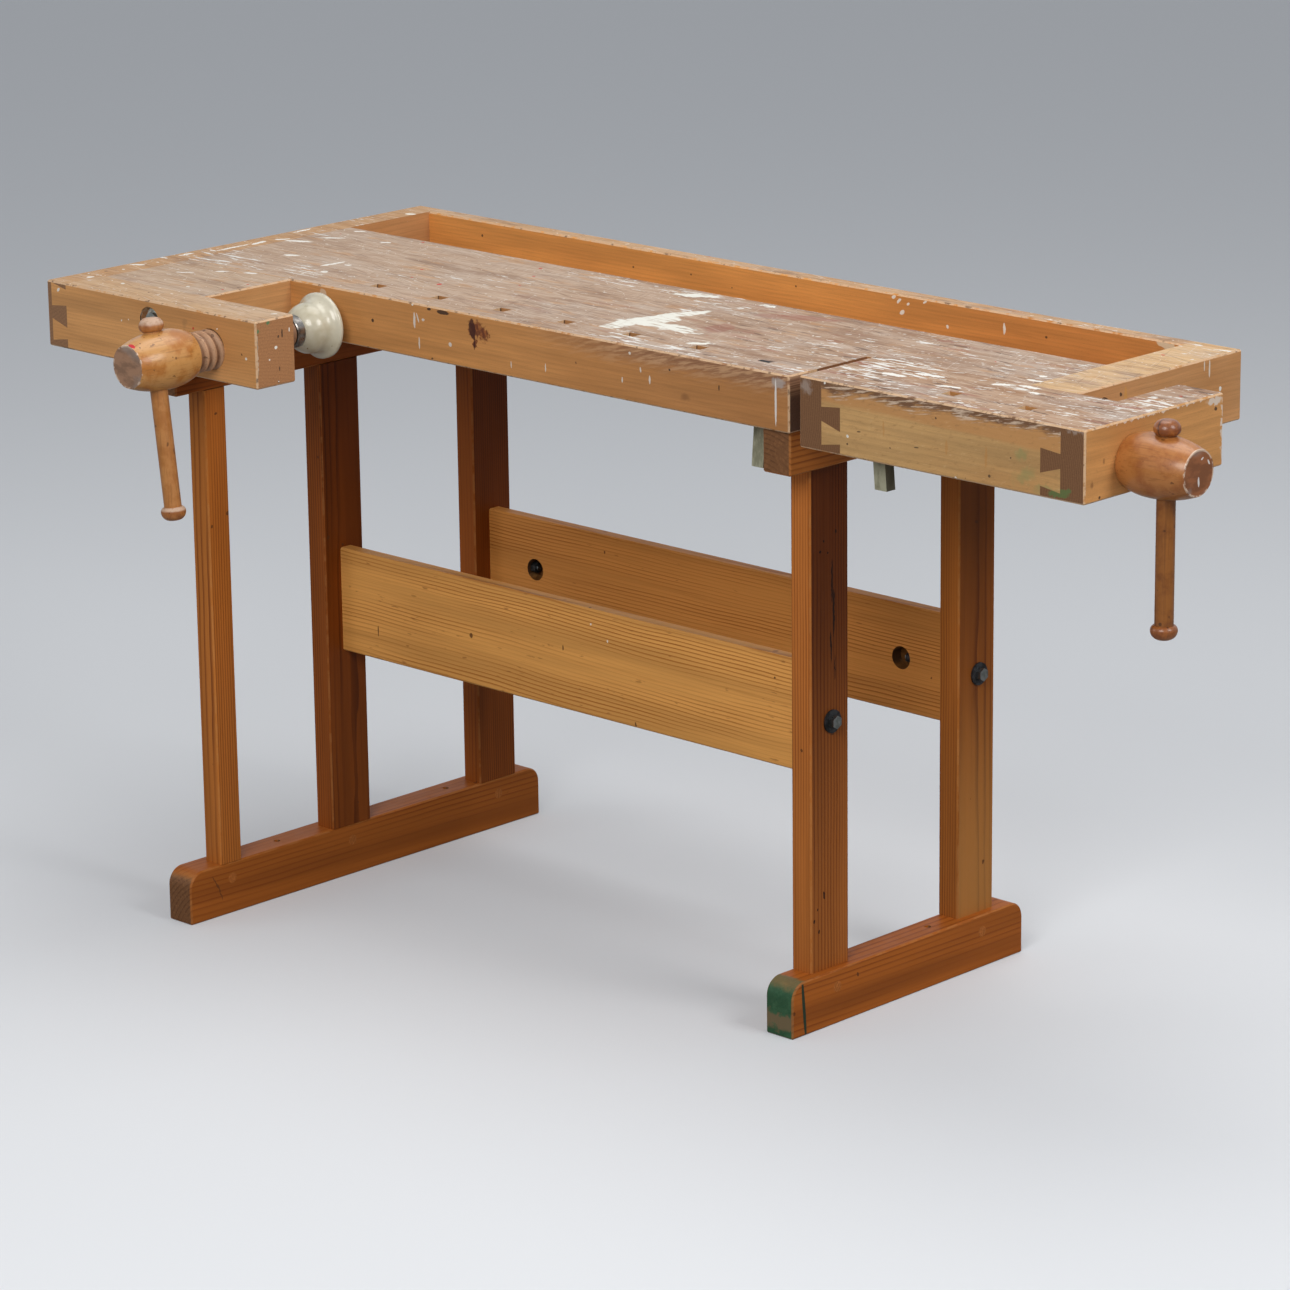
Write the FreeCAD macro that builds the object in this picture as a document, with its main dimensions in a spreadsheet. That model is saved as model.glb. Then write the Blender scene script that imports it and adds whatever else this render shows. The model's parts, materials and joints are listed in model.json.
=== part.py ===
import FreeCAD, Part
import math
import os
import Sketcher
from FreeCAD import Placement, Rotation, Vector

# Joiner's workbench: a planked top with a tool tray, a shoulder vise at the left front corner,
# a tail vise at the right front corner, two trestles and two bolted stretchers.
# X runs along the bench from its left end, Y from its front face to the back, Z up from the floor.

os.makedirs("parts", exist_ok=True)
doc = FreeCAD.newDocument("Workbench")
sheet = doc.addObject("Spreadsheet::Sheet", "Sizes")
nodes = {}


class Size:
    """A size as a formula on the sheet, with its value beside it for the first draft of a sketch."""

    def __init__(self, text, value):
        self.text = text
        self.value = value

    def joined(self, sign, other, value):
        other = other if isinstance(other, Size) else Size(str(other), other)
        return Size("(" + self.text + " " + sign + " " + other.text + ")", value)

    def __add__(self, other):
        return self.joined("+", other, self.value + number(other))

    def __sub__(self, other):
        return self.joined("-", other, self.value - number(other))

    def __mul__(self, other):
        return self.joined("*", other, self.value * number(other))

    def __truediv__(self, other):
        return self.joined("/", other, self.value / number(other))

    def __neg__(self):
        return Size("(0 - " + self.text + ")", -self.value)


def number(size):
    return size.value if isinstance(size, Size) else float(size)


def size(name, value, meaning):
    """Write one driving size on the sheet and hand it back as a formula."""
    row = str(len(sheet.getUsedCells()) // 2 + 1)
    sheet.set("A" + row, "'" + meaning)
    sheet.set("B" + row, str(value))
    sheet.setAlias("B" + row, name)
    return Size("Sizes." + name, value)


def bind(item, prop, formula):
    item.setExpression(prop, formula.text if isinstance(formula, Size) else str(formula))


# ---------------------------------------------------------------- driving sizes
none = Size("0", 0.0)
bench_height = size("bench_height", 830, "floor to the top surface")
top_length = size("top_length", 1416, "left end cap to right end cap, outside")
top_width = size("top_width", 459, "front face to back rail, outside")
edge_ease = size("edge_ease", 2, "chamfer on the arrises of a board")
slab_depth = size("slab_depth", 289, "front face to the tray")
slab_thickness = size("slab_thickness", 50, "glued planks")
apron_height = size("apron_height", 70, "front board")
apron_thickness = size("apron_thickness", 36, "front board")
rim_height = size("rim_height", 86, "end caps, arm and arm spacer")
left_cap_width = size("left_cap_width", 43, "left end cap along the bench")
right_cap_width = size("right_cap_width", 69, "right end cap along the bench")
rail_thickness = size("rail_thickness", 25, "back rail")
rail_height = size("rail_height", 68, "back rail")
tray_floor_thickness = size("tray_floor_thickness", 10, "board under the tray")
tray_lap = size("tray_lap", 14, "tray floor under the slab")
rail_groove = size("rail_groove", 7, "depth of the groove for the tray floor")

dog_hole_length = size("dog_hole_length", 19, "dog hole along the bench")
dog_hole_width = size("dog_hole_width", 16, "dog hole across the bench")
dog_first = size("dog_first", 357, "first dog hole from the left end")
dog_last = size("dog_last", 74, "last dog hole from the end of the bench at the tail vise")
tail_dog_first = size("tail_dog_first", 20.7, "first dog hole of the vise from its jaw block")
tail_dog_last = size("tail_dog_last", 55.3, "last dog hole of the vise from its end block")
dog_slope = size("dog_slope", 0.08, "sideways lean of a dog per unit of height")
dog_clearance = size("dog_clearance", 0.3, "play of a dog on each side")
dog_length = size("dog_length", 130, "length of a bench dog")
bench_dog_holes = 7
tail_dog_holes = 3

arm_length = size("arm_length", 402, "shoulder vise arm")
arm_thickness = size("arm_thickness", 63, "shoulder vise arm")
arm_reach = size("arm_reach", 208, "front face to the face of the arm")
notch_start = size("notch_start", 238, "left wall of the shoulder vise notch")
pin_length = size("pin_length", 29, "length of a dovetail pin")
pin_top = size("pin_top", 32, "top surface to the middle pin")
pin_root = size("pin_root", 17, "height of the middle pin at its root")
pin_flare = size("pin_flare", 9, "growth of a pin towards its end")
lower_pin = size("lower_pin", 13, "height of the lower pin")
half_pin = size("half_pin", 8, "height of the pin at the top of the arm")
cap_nose = size("cap_nose", 9, "end grain of the cap in front of its pins")

front_screw_x = size("front_screw_x", 317, "shoulder vise screw from the left end")
screw_drop = size("screw_drop", 46, "top surface to the screws")
front_screw_radius = size("front_screw_radius", 26, "crest of the front thread")
tail_screw_radius = size("tail_screw_radius", 23, "crest of the tail thread")
thread_depth = size("thread_depth", 4.5, "crest to root of a wooden thread")
thread_pitch = size("thread_pitch", 12.7, "lead of both screws")
thread_flat = size("thread_flat", 2.4, "flat on the crest")
thread_margin = size("thread_margin", 1, "plain core at each end of a thread")
screw_clearance = size("screw_clearance", 0.09, "radial play of a screw in its bore")
hub_length = size("hub_length", 94, "turned hub")
hub_radius = size("hub_radius", 37.5, "turned hub at its widest")
hub_base_radius = size("hub_base_radius", 31, "turned hub at the screw")
hub_end_radius = size("hub_end_radius", 27, "turned hub at the free end")
screw_neck = size("screw_neck", 3, "plain ends of a screw")
front_hub_gap = size("front_hub_gap", 42, "thread that shows before the arm")
tail_hub_gap = size("tail_hub_gap", 0.4, "running gap of the tail hub")
journal_radius = size("journal_radius", 15, "plain end of the front screw in the pad")
pad_radius = size("pad_radius", 42.5, "clamping pad at its rim")
pad_neck_radius = size("pad_neck_radius", 20.5, "clamping pad at the collar")
pad_step_radius = size("pad_step_radius", 33, "clamping pad between its dome and its cove")
pad_length = size("pad_length", 46, "clamping pad along the screw")
pad_rim = size("pad_rim", 8, "straight rim of the pad")
pad_lip = size("pad_lip", 2, "step behind the rim of the pad")
pad_gap = size("pad_gap", 20, "pad to the front face at rest")
collar_length = size("collar_length", 13, "metal collar")
collar_radius = size("collar_radius", 21, "metal collar")
collar_ease = size("collar_ease", 1, "softened edges of the collar")
socket_play = size("socket_play", 1, "end play of the front screw in its pad")
lead_length = size("lead_length", 13, "plain part of the front screw before its collar")
lead_radius = size("lead_radius", 19, "plain part of the front screw before its collar")

bar_radius = size("bar_radius", 11, "handle bar")
bar_clearance = size("bar_clearance", 0.1, "radial play of a bar in its hub")
bar_length = size("bar_length", 255, "handle from knob top to knob foot")
knob_radius = size("knob_radius", 15.8, "handle knob")
knob_length = size("knob_length", 17, "handle knob")
knob_gap = size("knob_gap", 0.3, "top knob above its hub at rest")
knob_seat_radius = size("knob_seat_radius", 12.4, "flat side of a knob, round its bar")
knob_crown_radius = size("knob_crown_radius", 4.5, "flat at the outer end of a knob")
front_bar_angle = size("front_bar_angle", 7, "degrees that the front handle leans")
handle_place = size("handle_place", 45, "handle bar from the free end of its hub")

tail_cut_length = size("tail_cut_length", 313, "cut for the tail vise, along the bench")
tail_cut_depth = size("tail_cut_depth", 138, "cut for the tail vise, across the bench")
tail_gap = size("tail_gap", 16, "open jaw of the tail vise at rest")
tail_length = size("tail_length", 428, "tail vise along the bench")
tail_height = size("tail_height", 86, "tail vise")
tail_rise = size("tail_rise", 3, "tail vise above the slab")
tail_clearance = size("tail_clearance", 0.4, "sliding play of the tail vise")
tail_block = size("tail_block", 64, "jaw block and end block along the bench")
end_block_depth = size("end_block_depth", 252, "end block from the front face")
tail_plate = size("tail_plate", 18, "cover of the tail vise")
sole_thickness = size("sole_thickness", 7, "board under the tail vise")
liner_thickness = size("liner_thickness", 5, "inner wall of the tail dog strip")
tail_screw_y = size("tail_screw_y", 84, "tail screw behind the front face")
guide_depth = size("guide_depth", 20, "guide beam in front of the slab")
garter_thickness = size("garter_thickness", 8, "key that holds the tail screw")
garter_groove = size("garter_groove", 5, "depth of the groove for the key")

trestle_width = size("trestle_width", 44, "foot and bearer along the bench")
left_trestle_face = size("left_trestle_face", 228, "inner face of the left trestle")
right_trestle_inset = size("right_trestle_inset", 361, "right end to the right trestle's inner face")
foot_height = size("foot_height", 70, "foot")
foot_round = size("foot_round", 22, "rounded upper corner of a foot")
left_foot_front = size("left_foot_front", 200, "left foot in front of the front face")
foot_back = size("foot_back", 443, "back end of a foot and of a bearer")
right_foot_front = size("right_foot_front", 6, "front end of the right foot")
bearer_drop = size("bearer_drop", 124, "top surface to the underside of a bearer")
left_bearer_front = size("left_bearer_front", 192, "left bearer in front of the front face")
leg_thickness = size("leg_thickness", 32, "leg along the bench")
leg_depth = size("leg_depth", 69, "leg across the bench")
front_leg_y = size("front_leg_y", 54, "front legs behind the front face")
back_leg_y = size("back_leg_y", 329, "back legs behind the front face")
arm_leg_depth = size("arm_leg_depth", 36, "slim leg under the arm")
arm_leg_front = size("arm_leg_front", 145, "slim leg in front of the front face")
tenon_thickness = size("tenon_thickness", 14, "leg tenons")
tenon_length = size("tenon_length", 30, "leg tenons")
tenon_shoulder = size("tenon_shoulder", 8, "shoulder at each edge of a tenon")
stretcher_thickness = size("stretcher_thickness", 20, "stretcher")
stretcher_inset = size("stretcher_inset", 28, "front of a leg to the stretcher")
stretcher_bottom = size("stretcher_bottom", 314, "floor to a stretcher")
stretcher_height = size("stretcher_height", 141, "stretcher")
access_inset = size("access_inset", 87, "leg to the access hole")
access_radius = size("access_radius", 15, "access hole for a nut")
access_skin = size("access_skin", 3, "wood left behind an access hole")
bolt_radius = size("bolt_radius", 4, "stretcher bolt")
bolt_head_radius = size("bolt_head_radius", 8.5, "stretcher bolt head")
bolt_head_length = size("bolt_head_length", 7, "stretcher bolt head")
washer_radius = size("washer_radius", 14.5, "stretcher washer")
washer_thickness = size("washer_thickness", 2.5, "washer")
nut_length = size("nut_length", 8, "nut")
nut_radius = size("nut_radius", 7.5, "nut")
nut_seat = size("nut_seat", 12.5, "middle of the access hole to the nut's face")
bolt_tail = size("bolt_tail", 3, "bolt beyond its nut")
plug_radius = size("plug_radius", 7, "plug over a leg pin")
plug_height = size("plug_height", 48, "floor to a leg pin")
floor_hole_radius = size("floor_hole_radius", 4.5, "hole down through a foot")

top_bolt_radius = size("top_bolt_radius", 6, "bolt through arm or end cap")
top_bolt_head_radius = size("top_bolt_head_radius", 10, "head of that bolt")
top_bolt_head_length = size("top_bolt_head_length", 7, "head of that bolt")
arm_bolt_x = size("arm_bolt_x", 201, "arm bolt from the left end")
top_bolt_drop = size("top_bolt_drop", 26, "top surface to these bolts")
arm_recess_radius = size("arm_recess_radius", 18, "recess round the arm bolt")
cap_recess_radius = size("cap_recess_radius", 13, "recess round a cap bolt")
washer_margin = size("washer_margin", 1, "washer inside its recess")
recess_depth = size("recess_depth", 12, "recess round a bolt head")
cap_bolt_y = size("cap_bolt_y", 196, "cap bolts behind the front face")
bolt_grip = size("bolt_grip", 60, "bolt inside the slab")

jaw_end = top_length - tail_cut_length
dog_pitch = (jaw_end - dog_last - dog_first) / (bench_dog_holes - 1)
right_trestle_face = top_length - right_trestle_inset

# Every piece is set down from the middle of the floor under the whole bench.
tail_hub_base = jaw_end + tail_gap + tail_length + tail_hub_gap
front_hub_base = -arm_reach - front_hub_gap
centre_x = (tail_hub_base + hub_length) / 2
centre_y = (top_width + front_hub_base - hub_length) / 2


# ---------------------------------------------------------------- ways to make a piece
def new_body(name):
    body = doc.addObject("PartDesign::Body", name)
    body.Label = name
    nodes[name] = body
    set_at(body, (-centre_x, -centre_y, none))
    return body


def set_at(feature, corner):
    for axis, formula in zip("xyz", corner):
        bind(feature, "Placement.Base." + axis, formula)


def block(body, kind, x, y, z):
    """An additive or subtractive box between pairs of planes."""
    feature = body.newObject("PartDesign::" + kind + "Box", body.Name + "_" + kind)
    for side, (start, end) in zip(("Length", "Width", "Height"), (x, y, z)):
        bind(feature, side, end - start)
    set_at(feature, (x[0], y[0], z[0]))
    return feature


def on_face(edge, box, face):
    """Whether an edge lies wholly on one outer face of the piece that the box bounds."""
    outer, inner = {
        "left": ("XMin", "XMax"), "right": ("XMax", "XMin"), "front": ("YMin", "YMax"),
        "back": ("YMax", "YMin"), "under": ("ZMin", "ZMax"), "top": ("ZMax", "ZMin")}[face]
    return abs(getattr(edge.BoundBox, inner) - getattr(box, outer)) < 0.01


def ease(body, feature, faces=()):
    """Take off the arrises where two of the named faces meet, or all when no face is named."""
    doc.recompute()
    solid = feature.Shape
    chamfer = body.newObject("PartDesign::Chamfer", body.Name + "_eased")
    edges = ["Edge%d" % (index + 1) for index, edge in enumerate(solid.Edges)
             if sum(on_face(edge, solid.BoundBox, face) for face in faces) > 1]
    chamfer.Base = (feature, edges or ["Edge1"])
    chamfer.UseAllEdges = not edges
    bind(chamfer, "Size", edge_ease)


def board(name, x, y, z, faces=()):
    """A board whose arrises are eased where two of the named faces meet."""
    body = new_body(name)
    plain = block(body, "Additive", x, y, z)
    if faces:
        ease(body, plain, faces)
    return body


def turned_to(axis):
    turns = {
        "X": Rotation(Vector(0, 1, 0), 90),
        "Y": Rotation(Vector(1, 0, 0), -90),
        "Z": Rotation(),
    }
    return turns[axis]


def rod(body, kind, axis, start, radius, length):
    """An additive or subtractive cylinder that runs from its start along X, Y or Z."""
    feature = body.newObject("PartDesign::" + kind + "Cylinder", body.Name + "_" + kind)
    feature.Placement = Placement(Vector(), turned_to(axis))
    bind(feature, "Radius", radius)
    bind(feature, "Height", length)
    set_at(feature, start)
    return feature


def hexagon(body, axis, start, radius, length):
    feature = body.newObject("PartDesign::AdditivePrism", body.Name + "_hex")
    feature.Placement = Placement(Vector(), turned_to(axis))
    feature.Polygon = 6
    bind(feature, "Circumradius", radius)
    bind(feature, "Height", length)
    set_at(feature, start)
    return feature


def sketch_on(body, role):
    sketch = body.newObject("Sketcher::SketchObject", body.Name + "_sketch")
    plane = [item for item in body.Origin.OriginFeatures if item.Role == role][0]
    sketch.AttachmentSupport = (plane, [""])
    sketch.MapMode = "FlatFace"
    return sketch


def pin_point(sketch, geometry, vertex, corner):
    """Bind one end of a line or arc to a pair of sizes measured from the sketch's origin."""
    for direction, formula in zip(("DistanceX", "DistanceY"), corner):
        row = sketch.addConstraint(
            Sketcher.Constraint(direction, -1, 1, geometry, vertex, number(formula)))
        if isinstance(formula, Size) and formula is not none:
            sketch.setExpression("Constraints[%d]" % row, formula.text)


def arc_between(start, stop, radius, bulge):
    """An arc that bulges to the right of its way from start to stop, or to the left if bulge is -1."""
    chord = stop - start
    reach = (radius ** 2 - chord.Length ** 2 / 4) ** 0.5
    centre = (start + stop) / 2 + Vector(-chord.y, chord.x, 0).normalize() * (reach * bulge)
    first, last = (start - centre, stop - centre) if bulge > 0 else (stop - centre, start - centre)
    low = math.atan2(first.y, first.x)
    high = math.atan2(last.y, last.x)
    if high < low:
        high += 2 * math.pi
    return Part.ArcOfCircle(Part.Circle(centre, Vector(0, 0, 1), radius), low, high)


def add_loop(sketch, corners, arcs=()):
    """Draw a closed outline; arcs maps a corner's number to the radius and bulge that follow it."""
    arcs = dict(arcs)
    points = [Vector(number(x), number(y), 0) for x, y in corners]
    ends = []
    for index, start in enumerate(points):
        stop = points[(index + 1) % len(points)]
        if index in arcs:
            radius, bulge = arcs[index]
            row = sketch.addGeometry(arc_between(start, stop, number(radius), bulge), False)
            bound = sketch.addConstraint(Sketcher.Constraint("Radius", row, number(radius)))
            sketch.setExpression("Constraints[%d]" % bound, radius.text)
            first = 1 if bulge > 0 else 2
            ends.append((row, first, 3 - first))
        else:
            row = sketch.addGeometry(Part.LineSegment(start, stop), False)
            ends.append((row, 1, 2))
    for index, (row, first, last) in enumerate(ends):
        after = ends[(index + 1) % len(ends)]
        sketch.addConstraint(Sketcher.Constraint("Coincident", row, last, after[0], after[1]))
        pin_point(sketch, row, first, corners[index])


def outline(body, role, corners, arcs=()):
    sketch = sketch_on(body, role)
    add_loop(sketch, corners, arcs)
    return sketch


def pad(body, sketch, length, place):
    """Extrude a sketch that has been moved along its normal to the place of its first face."""
    feature = body.newObject("PartDesign::Pad", body.Name + "_pad")
    feature.Profile = sketch
    bind(feature, "Length", length)
    bind(sketch, "AttachmentOffset.Base.z", place)
    return feature


def revolve(body, sketch, axis):
    feature = body.newObject("PartDesign::Revolution", body.Name + "_turned")
    feature.Profile = sketch
    feature.ReferenceAxis = (sketch, [axis])
    feature.Angle = 360
    return feature


def group(name, bodies):
    """Like pieces that share a node, each its own solid."""
    compound = doc.addObject("Part::Compound", name)
    compound.Label = name
    compound.Links = bodies
    for body in bodies:
        del nodes[body.Name]
    nodes[name] = compound
    return compound


# ---------------------------------------------------------------- top: slab, apron, caps, tray
rim_bottom = bench_height - rim_height
slab_bottom = bench_height - slab_thickness
apron_bottom = bench_height - apron_height
dog_front = apron_thickness
dog_back = apron_thickness + dog_hole_width
right_cap_face = top_length - right_cap_width
rail_front = top_width - rail_thickness
top_screw_z = bench_height - screw_drop
bolt_z = bench_height - top_bolt_drop


slab = new_body("slab")
slab_outline = outline(slab, "XY_Plane", [
    (left_cap_width, dog_back), (jaw_end, dog_back), (jaw_end, tail_cut_depth),
    (right_cap_face, tail_cut_depth), (right_cap_face, slab_depth), (left_cap_width, slab_depth)])
ease(slab, pad(slab, slab_outline, slab_thickness, slab_bottom), ("back", "top"))

apron = board("apron", (left_cap_width, jaw_end), (none, apron_thickness),
              (apron_bottom, bench_height), ("front", "right", "top", "under"))
left_end_cap = board("left_end_cap", (none, left_cap_width), (-arm_reach, top_width),
                     (rim_bottom, bench_height), ("left", "front", "back", "top", "under"))
right_end_cap = board("right_end_cap", (right_cap_face, top_length), (tail_cut_depth, top_width),
                      (rim_bottom, bench_height), ("right", "front", "back", "top", "under"))
back_rail = board("back_rail", (left_cap_width, right_cap_face), (rail_front, top_width),
                  (bench_height - rail_height, bench_height), ("front", "back", "top", "under"))
tray_top = slab_bottom
tray_bottom = tray_top - tray_floor_thickness
tray_front = slab_depth - tray_lap
block(back_rail, "Subtractive", (left_cap_width, right_cap_face),
      (rail_front, rail_front + rail_groove), (tray_bottom, tray_top))
board("tray_floor", (left_cap_width, right_cap_face), (tray_front, rail_front + rail_groove),
      (tray_bottom, tray_top))


# Blocks between the dog holes: their ends lean, so each hole leans with them.
def strip_block(name, left, right, bottom, top, left_lean, right_lean, front):
    body = new_body(name)
    height = top - bottom
    sketch = outline(body, "XZ_Plane", [
        (left - left_lean * height, bottom), (right - right_lean * height, bottom),
        (right, top), (left, top)])
    pad(body, sketch, dog_hole_width, -front - dog_hole_width)
    return body


def dog_strip(name, ends, first_hole, pitch, holes, heights, lean):
    """A row of blocks with a dog hole between each two; the ends of the row stand upright."""
    blocks = []
    for index in range(holes + 1):
        first = index == 0
        last = index == holes
        hole = first_hole + pitch * index
        left = ends[0] if first else hole - pitch + dog_hole_length / 2
        right = ends[1] if last else hole - dog_hole_length / 2
        blocks.append(strip_block("%s_%d" % (name, index), left, right, heights[0], heights[1],
                                  none if first else lean, none if last else lean, dog_front))
    return blocks


strip = dog_strip("strip_block", (left_cap_width, jaw_end), dog_first, dog_pitch, bench_dog_holes,
                  (apron_bottom, bench_height), dog_slope)
group("dog_strip_blocks", strip)


# ---------------------------------------------------------------- dovetailed corners
def cut_between(body, lines, root, end, front, depth):
    """Cut away what lies between each two lines, given by their heights at root and end of the pins."""
    sketch = sketch_on(body, "XZ_Plane")
    for (root_high, end_high), (root_low, end_low) in zip(lines[0::2], lines[1::2]):
        add_loop(sketch, [(root, root_high), (end, end_high), (end, end_low), (root, root_low)])
    feature = body.newObject("PartDesign::Pocket", body.Name + "_dovetail")
    feature.Profile = sketch
    bind(feature, "Length", depth)
    bind(sketch, "AttachmentOffset.Base.z", -front - depth)
    feature.Reversed = True


def dovetail(pins, tails, root, end, front, depth, top, bottom, top_pin=None):
    """Join two boards at a corner with pins that widen towards their end, the top one by choice."""
    upper = top - pin_top
    lines = [(upper, upper + pin_flare / 3), (upper - pin_root, upper - pin_root - pin_flare),
             (bottom + lower_pin - pin_flare / 2, bottom + lower_pin)]
    if top_pin:
        upper_edge = (top - top_pin / 5, top - top_pin)
        cut_between(tails, [(top, top), upper_edge] + lines + [(bottom, bottom)], root, end, front, depth)
    else:
        upper_edge = (top, top)
        cut_between(tails, lines + [(bottom, bottom)], root, end, front, depth)
    cut_between(pins, [upper_edge] + lines, root, end, front, depth)


# ---------------------------------------------------------------- shoulder vise arm
arm_back = arm_thickness - arm_reach
cap_pin_end = cap_nose + pin_length
arm = board("arm", (cap_nose, arm_length), (-arm_reach, arm_back), (rim_bottom, bench_height),
            ("right", "front", "top", "under"))
block(left_end_cap, "Subtractive", (cap_pin_end, left_cap_width), (-arm_reach, arm_back),
      (rim_bottom, bench_height))
dovetail(left_end_cap, arm, cap_nose, cap_pin_end, -arm_reach, arm_thickness, bench_height,
         rim_bottom, half_pin)
rod(arm, "Subtractive", "Y", (front_screw_x, -arm_reach, top_screw_z),
    front_screw_radius + screw_clearance, arm_thickness)
rod(arm, "Subtractive", "Y", (arm_bolt_x, -arm_reach, bolt_z), top_bolt_radius, arm_thickness)
rod(arm, "Subtractive", "Y", (arm_bolt_x, -arm_reach, bolt_z), arm_recess_radius, recess_depth)

arm_spacer = board("arm_spacer", (left_cap_width, notch_start), (arm_back, none),
                   (rim_bottom, bench_height), ("right", "top", "under"))
rod(arm_spacer, "Subtractive", "Y", (arm_bolt_x, arm_back, bolt_z), top_bolt_radius, -arm_back)
rod(apron, "Subtractive", "Y", (arm_bolt_x, none, bolt_z), top_bolt_radius, apron_thickness)
rod(strip[0], "Subtractive", "Y", (arm_bolt_x, dog_front, bolt_z), top_bolt_radius, dog_hole_width)
rod(slab, "Subtractive", "Y", (arm_bolt_x, dog_back, bolt_z), top_bolt_radius, bolt_grip)


# ---------------------------------------------------------------- bolts through the top
def headed_bolt(name, axis, seat, side, length):
    """A bolt whose head stands on a washer at its seat; side is +1 where it runs along the axis."""
    body = new_body(name)
    place = dict(zip("XYZ", seat))
    inner = place[axis]
    shank = dict(place)
    shank[axis] = inner - length if side < 0 else inner
    head = dict(place)
    head[axis] = inner + washer_thickness if side < 0 else inner - washer_thickness - top_bolt_head_length
    neck = dict(place)
    neck[axis] = inner if side < 0 else inner - washer_thickness
    rod(body, "Additive", axis, shank.values(), top_bolt_radius, length)
    rod(body, "Additive", axis, neck.values(), top_bolt_radius, washer_thickness)
    rod(body, "Additive", axis, head.values(), top_bolt_head_radius, top_bolt_head_length)
    washer = new_body(name + "_washer")
    rod(washer, "Additive", axis, neck.values(), cap_recess_radius - washer_margin, washer_thickness)
    rod(washer, "Subtractive", axis, neck.values(), top_bolt_radius, washer_thickness)
    return body, washer


arm_seat = (arm_bolt_x, recess_depth - arm_reach, bolt_z)
arm_bolt_length = arm_reach - recess_depth + dog_back + bolt_grip
headed_bolt("arm_bolt", "Y", arm_seat, 1, arm_bolt_length)

cap_bolts = []
for label, seat_x, side, width in (
        ("left_cap_bolt", recess_depth, 1, left_cap_width),
        ("right_cap_bolt", top_length - recess_depth, -1, right_cap_width)):
    shank_length = width - recess_depth + bolt_grip
    cap_bolts.append(headed_bolt(label, "X", (seat_x, cap_bolt_y, bolt_z), side, shank_length))
group("end_cap_bolts", [bolt for bolt, washer in cap_bolts])
group("end_cap_washers", [washer for bolt, washer in cap_bolts])
for cap, start, recess_start, width in (
        (left_end_cap, none, none, left_cap_width),
        (right_end_cap, right_cap_face, top_length - recess_depth, right_cap_width)):
    rod(cap, "Subtractive", "X", (start, cap_bolt_y, bolt_z), top_bolt_radius, width)
    rod(cap, "Subtractive", "X", (recess_start, cap_bolt_y, bolt_z), cap_recess_radius, recess_depth)
rod(slab, "Subtractive", "X", (left_cap_width, cap_bolt_y, bolt_z), top_bolt_radius, bolt_grip)
rod(slab, "Subtractive", "X", (right_cap_face - bolt_grip, cap_bolt_y, bolt_z), top_bolt_radius,
    bolt_grip)

# ---------------------------------------------------------------- tail vise
tail_left = jaw_end + tail_gap
tail_right = tail_left + tail_length
tail_top = bench_height + tail_rise
tail_bottom = tail_top - tail_height
tail_back = tail_cut_depth - tail_clearance
hollow_left = tail_left + tail_block
hollow_right = tail_right - tail_block
left_pins = hollow_left - pin_length
right_pins = hollow_right + pin_length
liner_back = dog_back + liner_thickness
sole_top = tail_bottom + sole_thickness
cover_bottom = tail_top - tail_plate

tail_front_board = board("tail_front_board", (left_pins, right_pins), (none, apron_thickness),
                         (tail_bottom, tail_top), ("front", "top", "under"))
tail_jaw_block = board("tail_jaw_block", (tail_left, hollow_left), (none, tail_back),
                       (tail_bottom, tail_top), ("left", "front", "top", "under"))
tail_end_block = board("tail_end_block", (hollow_right, tail_right), (none, end_block_depth),
                       (tail_bottom, tail_top), ("right", "front", "back", "top", "under"))
dovetail(tail_jaw_block, tail_front_board, left_pins, hollow_left, none, apron_thickness,
         tail_top, tail_bottom)
dovetail(tail_end_block, tail_front_board, right_pins, hollow_right, none, apron_thickness,
         tail_top, tail_bottom)
guide_bottom = sole_top + tail_clearance
guide_top = cover_bottom - tail_clearance
guide_front = tail_cut_depth - guide_depth
block(tail_jaw_block, "Subtractive", (tail_left, hollow_left), (guide_front - tail_clearance, tail_back),
      (sole_top, cover_bottom))

rod(tail_end_block, "Subtractive", "X", (hollow_right, tail_screw_y, top_screw_z),
    tail_screw_radius + screw_clearance, tail_block)

board("tail_liner", (hollow_left, hollow_right), (dog_back, liner_back), (tail_bottom, tail_top))
board("tail_cover", (hollow_left, hollow_right), (liner_back, tail_back), (cover_bottom, tail_top))
board("tail_sole", (hollow_left, hollow_right), (liner_back, tail_back), (tail_bottom, sole_top))

tail_first_hole = hollow_left + tail_dog_first
tail_pitch = (hollow_right - tail_dog_last - tail_first_hole) / (tail_dog_holes - 1)
tail_strip = dog_strip("tail_block", (hollow_left, hollow_right), tail_first_hole, tail_pitch,
                       tail_dog_holes, (tail_bottom, tail_top), -dog_slope)
group("tail_strip_blocks", tail_strip)

# The nut and the guide beam stay with the bench, inside the hollow of the vise.
tail_nut = board("tail_nut", (right_cap_face, top_length), (liner_back + tail_clearance, tail_cut_depth),
                 (guide_bottom, guide_top))
rod(tail_nut, "Subtractive", "X", (right_cap_face, tail_screw_y, top_screw_z),
    tail_screw_radius + screw_clearance, right_cap_width)
board("tail_guide", (jaw_end, right_cap_face), (guide_front, tail_cut_depth), (guide_bottom, guide_top))

# ---------------------------------------------------------------- wooden screws and hubs
def turned(name, corners, arcs=()):
    """A turning about its own X axis: each corner is a place along the axis and a radius."""
    body = new_body(name)
    revolve(body, outline(body, "XY_Plane", corners, arcs), "H_Axis")
    return body


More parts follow.
